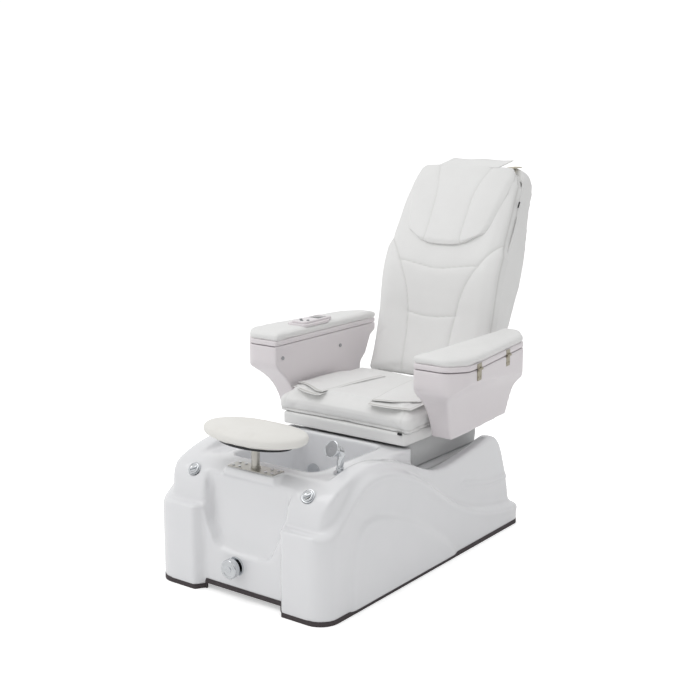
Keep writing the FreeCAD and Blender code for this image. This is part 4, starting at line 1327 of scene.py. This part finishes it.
@dataclass
class BackGroup:
    """Backrest pad with its seams, padded shell behind it, and the headrest pillow."""

    shop: Shop
    front: Sequence[Pair] = ((345, 560), (395, 690), (431, 810), (447, 900), (470, 1000),
                             (516, 1100), (562, 1180), (612, 1270), (665, 1350), (700, 1402))
    # Half width of the pad at shares of its height.
    pad_width: Sequence[Pair] = ((0, 260), (0.25, 270), (0.45, 276), (0.585, 277), (0.62, 268),
                                 (0.66, 264), (0.8, 259), (0.92, 248), (1, 208))
    # How far the foam stands forward of the sitting line.
    stand: float = 12.0
    panel: Sequence[Pair] = ((98, -20), (100, 100), (105, 200), (116, 300), (135, 385),
                             (168, 455), (212, 525), (262, 585))
    upper_cross: Sequence[Pair] = ((-182, 486), (-90, 473), (0, 462), (90, 473), (182, 486))
    lower_cross: Sequence[Pair] = ((-112, 278), (-50, 269), (20, 267), (112, 280))
    pillow_foot: float = 545.0
    # Half width of the pillow above its foot.
    pillow_width: Sequence[Pair] = ((0, 120), (10, 138), (30, 158), (60, 177), (110, 198),
                                    (190, 216), (260, 229), (320, 233), (355, 225), (392, 190))
    pillow_seam: Sequence[Pair] = ((92, 545), (82, 604), (83, 700), (87, 771), (99, 830),
                                   (122, 905))

    # Flap over the top: across, from front to rear, and its level at each end.
    flap_across: Pair = (-136, 152)
    flap_run: Pair = (676, 774)
    flap_rise: Pair = (1404, 1428)

    def build(self) -> None:
        """Model each piece of the back."""
        self.spine = Spine(self.front)
        self.pad()
        self.shell()
        self.shade_strips()
        self.pillow()

    def pad(self) -> None:
        """Front pad: made flat, swollen, sewn, then wrapped along the back."""
        length = self.spine.length
        half = 258 * MM
        pad = block("backrest_cover", (-half, 6 * MM, -41 * MM), (half, length - 4 * MM, -8 * MM),
                    14 * MM, 3)
        skinned(pad, 8 * MM, 2)
        puffed(pad, 4.0, 14.0)
        places = points(pad)
        places[:, 2] = np.clip(places[:, 2], -46 * MM, 8 * MM)
        shares = np.array(self.pad_width)
        wide = np.interp(np.clip(places[:, 1] / length, 0, 1), shares[:, 0], shares[:, 1]) * MM
        places[:, 0] *= wide / np.abs(places[:, 0]).max()
        places = self.boxed(places, wide, length)
        places[:, 2] += self.stand * MM * ease(places[:, 2], -44 * MM, -12 * MM)
        move_points(pad, places)
        facing = ease(places[:, 2], -20 * MM, -4 * MM)
        up = np.array((0, 0, 1))
        for sign in (-1, 1):
            line = [(sign * x, s) for x, s in self.panel]
            Seam(line, depth=7, width=4.5, give=20, groove_shade=0.2).pull(pad, places[:, :2],
                                                                     facing, up)
        for line in (self.upper_cross, self.lower_cross):
            Seam(line, depth=4.2, width=3.5, give=14, groove_shade=0.22).pull(pad, places[:, :2],
                                                                        facing, up)
        self.rim(pad)
        move_points(pad, self.spine.wrap(points(pad)))
        self.shop.done(pad, Surface.WHITE_VINYL, "back", "white_vinyl", ("backrest_pad",))

    @staticmethod
    def boxed(places: np.ndarray, wide: np.ndarray, length: float) -> np.ndarray:
        """Square up the hidden rear edge of the pad, so that it closes on the shell.

        Args:
            places: Points of the pad in the flat.
            wide: Half width of the pad at each point.
            length: Length of the pad.

        Returns:
            The points, with the rear rim pushed out and back.
        """
        deep = 1 - ease(places[:, 2], -40 * MM, -22 * MM)
        near = ease(np.abs(places[:, 0]) / wide, 0.84, 0.97)
        inset = 9 * MM * (1 - ease(places[:, 2], -50 * MM, -40 * MM))
        places[:, 0] += np.sign(places[:, 0]) * deep * near * (wide - inset - np.abs(places[:, 0]))
        high = ease(places[:, 1], length - 34 * MM, length - 12 * MM)
        places[:, 1] += deep * high * (length - 6 * MM - places[:, 1])
        rim = np.maximum(ease(np.abs(places[:, 0]), 150 * MM, 190 * MM), high)
        places[:, 2] -= deep * rim * 18 * MM
        return places

    def rim(self, pad: bpy.types.Object) -> None:
        """Seam that runs round the side of the pad, with painted shade in its groove.

        Args:
            pad: The pad, still in the flat.
        """
        places, out = points(pad), points(pad, "normal")
        side = 1 - np.abs(out[:, 2])
        groove = np.exp(-((places[:, 2] + 18 * MM) / (2.6 * MM)) ** 2) * side
        move_points(pad, places - out * (groove * 3 * MM)[:, None])
        # Painted shade in the rim seam's groove.
        mark_groove_shade(pad, 0.35 * groove)

    def shell(self) -> None:
        """Padded back shell with rounded shoulders, and the black zip pull in its groove."""
        piece = skinned(from_nodes("backrest_shell_cover", "backrest_shell"), 6 * MM, 8)
        self.shop.done(piece, Surface.WHITE_VINYL, "back", "white_vinyl", ("backrest_shell",))
        pull = block("zip_pull", (-3 * MM, -3 * MM, -13 * MM), (3 * MM, 1 * MM, 13 * MM),
                     1.5 * MM)
        pull.data.transform(Matrix.Translation((0.263, 0.648, 1.262))
                            @ Matrix.Rotation(np.radians(-28), 4, "X"))
        self.shop.done(smooth_faces(pull), Surface.BLACK_NYLON, "back", "black_plastic")

    def shade_strips(self) -> None:
        """Strips that close the groove between the pad and the shell, grey as painted shade: a
        shadow line along the groove.
        """
        strips = []
        for low, high in (((-1, 0.54), (-0.8, 1)), ((0.8, 0.54), (1, 1)),
                          ((-0.9, 0.93), (0.9, 0.99))):
            strip = block("strip", (*low, -102 * MM), (*high, -46 * MM))
            with editing(strip):
                bpy.ops.mesh.subdivide(number_cuts=24)
            flat = points(strip)
            shares = np.array(self.pad_width)
            wide = np.interp(flat[:, 1], shares[:, 0], np.minimum(shares[:, 1] - 3, 257)) * MM
            flat[:, 0] *= wide
            flat[:, 1] = 10 * MM + flat[:, 1] * (self.spine.length - 26 * MM)
            move_points(strip, self.spine.wrap(flat))
            strips.append(smooth_faces(strip))
        # Painted shade: the grey strips stand for the shadow line in the groove.
        self.shop.done(joined("backrest_shade_strips", *strips), Surface.GREY_VINYL, "back",
                       "grey_vinyl")

    def pillow(self) -> None:
        """Headrest pillow that hangs over the top, with a flap folded back behind it."""
        spine = Spine((*self.front[:-1], (697, 1398), (716, 1413), (742, 1420)))
        foot = self.pillow_foot * MM
        half, top = 200 * MM, self.spine.length + 6 * MM
        pad = block("headrest_cover", (-half, foot + 4 * MM, 9 * MM), (half, top, 19 * MM),
                    4 * MM, 2)
        skinned(pad, 6 * MM, 1)
        puffed(pad, 3.0, 7.0)
        places = points(pad)
        table = np.array(self.pillow_width)
        wide = np.interp(places[:, 1] - foot, table[:, 0] * MM, table[:, 1] * MM)
        share = places[:, 0] / np.abs(places[:, 0]).max()
        places[:, 0] = share * wide
        low = 1 - ease(places[:, 1], foot, foot + 90 * MM)
        places[:, 1] += low * 40 * MM * np.abs(share) ** 3
        move_points(pad, places)
        facing = ease(places[:, 2], 11 * MM, 16 * MM)
        up = np.array((0, 0, 1))
        for sign in (-1, 1):
            line = [(sign * x, s) for x, s in self.pillow_seam]
            Seam(line, depth=4, width=3.5, give=16, groove_shade=0.12).pull(pad, places[:, :2],
                                                                      facing, up)
        places, out = points(pad), points(pad, "normal")
        piped = np.exp(-((places[:, 2] - 12 * MM) / (2.2 * MM)) ** 2) * (1 - np.abs(out[:, 2]))
        # Painted shade along the piped edge's groove.
        mark_groove_shade(pad, 0.3 * piped)
        places -= out * (1.5 * MM * piped)[:, None]
        places[:, 2] -= 12 * MM * np.abs(places[:, 0] / half) ** 3
        places[:, 2] += self.stand * MM * (1 - ease(places[:, 1], top - 90 * MM, top))
        move_points(pad, spine.wrap(places))
        self.shop.done(pad, Surface.WHITE_VINYL, "back", "white_vinyl", ("headrest_pillow",))
        self.top_flap()

    def top_flap(self) -> None:
        """Thin vinyl flap that lies back over the top, and the strap end under its corner."""
        (x0, x1), (y0, y1), (z0, z1) = self.flap_across, self.flap_run, self.flap_rise
        flap = block("headrest_top_flap", (0, 0, 0), (1, 1, 1))
        with editing(flap):
            bpy.ops.mesh.subdivide(number_cuts=30)
        unit = points(flap)
        u, v = unit[:, 0], unit[:, 1]
        skew = 14 * MM * v
        x = (x0 + u * (x1 - x0)) * MM + skew
        y = (y0 + v * (y1 - y0)) * MM + 3 * MM * np.sin(5 * u)
        z = (z0 + v * (z1 - z0)) * MM + 1.6 * MM * np.sin(11 * u + 2 * v) * v
        z += (unit[:, 2] - 0.5) * 3.2 * MM
        move_points(flap, np.column_stack([x, y, z]))
        edge = np.minimum.reduce([u * (x1 - x0), (1 - u) * (x1 - x0), (1 - v) * (y1 - y0)])
        # Painted shade along the seam just inside the flap's edges.
        mark_groove_shade(flap, 0.25 * np.exp(-((edge - 6) / 1.5) ** 2))
        modified(flap, "BEVEL", width=1.2 * MM, segments=2, limit_method="ANGLE")
        smooth_faces(flap, 50)
        self.shop.done(flap, Surface.WHITE_VINYL, "back", "white_vinyl")
        strap = block("headrest_strap_end", (0.172, 0.705, 1.4), (0.206, 0.77, 1.405), 1.5 * MM)
        self.shop.done(smooth_faces(strap), Surface.STRAP, "back", "white_vinyl")


# ---- armrests -------------------------------------------------------------------------------

@dataclass
class Armrests:
    """Storage armrests with plastic bodies, hinged lids and leather lid pads."""

    shop: Shop
    voxel: float = 4.5
    # How far the inner wall's top edge stands up to hide the gap under the lid.
    lap: float = 2.6

    def build(self) -> None:
        """Model both sides, the pads once for the pair."""
        pad = skinned(from_nodes("armrest_cushion_left", "lid_pad_left"), 6 * MM, 3)
        puffed(pad, 3.0, 4.0)
        places = points(pad)
        foot = places[:, 2].min()
        places[:, 2] -= 2.4 * MM * (1 - ease(places[:, 2], foot + 2 * MM, foot + 9 * MM))
        move_points(pad, places)
        twin = mirrored(pad, "armrest_cushion_right")
        for side, cushion in (("left", pad), ("right", twin)):
            body = skinned(from_nodes(f"armrest_body_{side}", f"armrest_{side}"),
                           self.voxel * MM, 5)
            places = points(body)
            inner = 1 - ease(np.abs(places[:, 0]), 316.5 * MM, 324 * MM)
            rise = ease(places[:, 2], 738 * MM, 745 * MM)
            places[:, 2] += self.lap * MM * inner * rise
            move_points(body, places)
            self.shop.done(body, Surface.WHITE_ABS, "seat", "arm_plastic", (f"armrest_{side}",))
            lid = skinned(from_nodes(f"armrest_lid_{side}", f"lid_{side}"), 4 * MM, 3)
            self.shop.done(lid, Surface.WHITE_ABS, f"lid_{side}", "arm_plastic",
                           (f"lid_{side}",))
            self.shop.done(cushion, Surface.WHITE_VINYL, f"lid_{side}", "white_vinyl",
                           (f"lid_pad_{side}",))


@dataclass
class Handset:
    """Remote handset in its cradle on the right armrest."""

    shop: Shop

    def build(self) -> None:
        """Model the cradle, the case and its window."""
        cradle = skinned(from_nodes("handset_cradle", "remote_holder"), 2.2 * MM, 3)
        self.shop.done(cradle, Surface.WHITE_ABS, "lid_right", "arm_plastic",
                       ("remote_holder",))
        case = skinned(from_nodes("handset_case", "remote_case"), 1.6 * MM, 3)
        self.shop.done(case, Surface.WHITE_ABS, "remote", "arm_plastic", ("remote_case",))
        low, high = (Vector(corner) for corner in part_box("remote_case"))
        middle = (low + high) / 2
        top = high.z - 1.2 * MM
        window = block("handset_window", (middle.x - 26 * MM, middle.y + 8 * MM, top - 1 * MM),
                       (middle.x + 26 * MM, middle.y + 70 * MM, top + 0.4 * MM), 0.4 * MM, 2)
        self.shop.done(smooth_faces(window), Surface.WINDOW, "remote", "black_plastic")


# ---- studio ---------------------------------------------------------------------------------

@dataclass
class Studio:
    """Camera, pale floor and soft lights."""

    shop: Shop
    eye: Triple = (2.62414, -3.68196, 1.70187)
    azimuth: float = 36.456
    dip: float = 11.92
    focal: float = 62.81
    key_place: Triple = (-1.4, -1.9, 4.0)
    key_aim: Triple = (0, 0, 0.6)
    key_size: float = 2.6
    key_power: float = 24.0
    # Glow of the board for the camera alone, so that it meets the backdrop without a line.
    board_glow: float = 0.45
    # The sky is brightest from this direction and dimmest from the opposite one.
    bright_side: Triple = (-0.42, 0.12, 0.9)
    bright: float = 0.86
    dim: float = 0.16

    def camera(self) -> None:
        """Set up the camera."""
        data = bpy.data.cameras.new("camera")
        data.lens, data.sensor_width = self.focal, 36.0
        camera = bpy.data.objects.new("camera", data)
        bpy.context.scene.collection.objects.link(camera)
        camera.location = self.eye
        camera.rotation_euler = (np.radians(90 - self.dip), 0, np.radians(self.azimuth))
        bpy.context.scene.camera = camera

    def floor(self) -> None:
        """Lay the floor."""
        choose(None)
        bpy.ops.mesh.primitive_plane_add(size=60, location=(0, 0, 0))
        floor = bpy.context.object
        floor.name = "studio_floor"
        self.shop.palette.dress(floor, Surface.FLOOR)
        tree = self.shop.palette.made[Surface.FLOOR].node_tree
        shader = tree.nodes["Principled BSDF"]
        shader.inputs["Emission Color"].default_value = linear("#FFFFFF")
        seen = add_node(tree, "ShaderNodeLightPath").outputs["Is Camera Ray"]
        glow = add_node(tree, "ShaderNodeMath", {0: seen, 1: self.board_glow},
                        operation="MULTIPLY")
        tree.links.new(glow.outputs[0], shader.inputs["Emission Strength"])

    def lamp(self, name: str, place: Triple, aim: Triple, size: float, power: float) -> None:
        """Hang one square soft lamp.

        Args:
            name: Name of the lamp.
            place: Where it hangs.
            aim: The point it faces.
            size: Side of the square.
            power: Watts.
        """
        data = bpy.data.lights.new(name, "AREA")
        data.size, data.energy = size, power
        lamp = bpy.data.objects.new(name, data)
        bpy.context.scene.collection.objects.link(lamp)
        lamp.location = place
        lamp.rotation_euler = (Vector(aim) - Vector(place)).to_track_quat("-Z", "Y").to_euler()

    def build(self) -> None:
        """Light the floor and the chair."""
        self.floor()
        world = bpy.data.worlds.new("studio")
        bpy.context.scene.world = world
        world.use_nodes = True
        tree = world.node_tree
        ray = add_node(tree, "ShaderNodeTexCoord").outputs["Generated"]
        lean = add_node(tree, "ShaderNodeVectorMath", {0: ray, 1: self.bright_side},
                        operation="DOT_PRODUCT")
        glow = add_node(tree, "ShaderNodeMapRange",
                        {"Value": lean.outputs["Value"], "From Min": -0.6, "From Max": 0.5,
                         "To Min": self.dim, "To Max": self.bright},
                        interpolation_type="SMOOTHSTEP")
        seen = add_node(tree, "ShaderNodeLightPath").outputs["Is Camera Ray"]
        strength = add_node(tree, "ShaderNodeMix", {0: seen, 2: glow.outputs["Result"], 3: 1.05})
        tree.links.new(strength.outputs[0], tree.nodes["Background"].inputs["Strength"])
        tree.nodes["Background"].inputs["Color"].default_value = linear("#FFFFFF")
        self.lamp("key", self.key_place, self.key_aim, self.key_size, self.key_power)
        bpy.context.scene.view_settings.view_transform = "Standard"


def main() -> None:
    """Build the chair piece by piece."""
    logging.basicConfig(level=logging.INFO, format="%(name)s: %(message)s")
    shop = Shop()
    studio = Studio(shop)
    studio.camera()
    shop.palette.dress_frame()
    for group in (FootBath(shop), DeckFittings(shop), SeatGroup(shop), BackGroup(shop),
                  Armrests(shop), Handset(shop)):
        group.build()
        log.info("%s built", type(group).__name__)
    studio.build()
    for node in frame["nodes"].values():
        node.select_set(False)


if __name__ == "__main__":
    main()
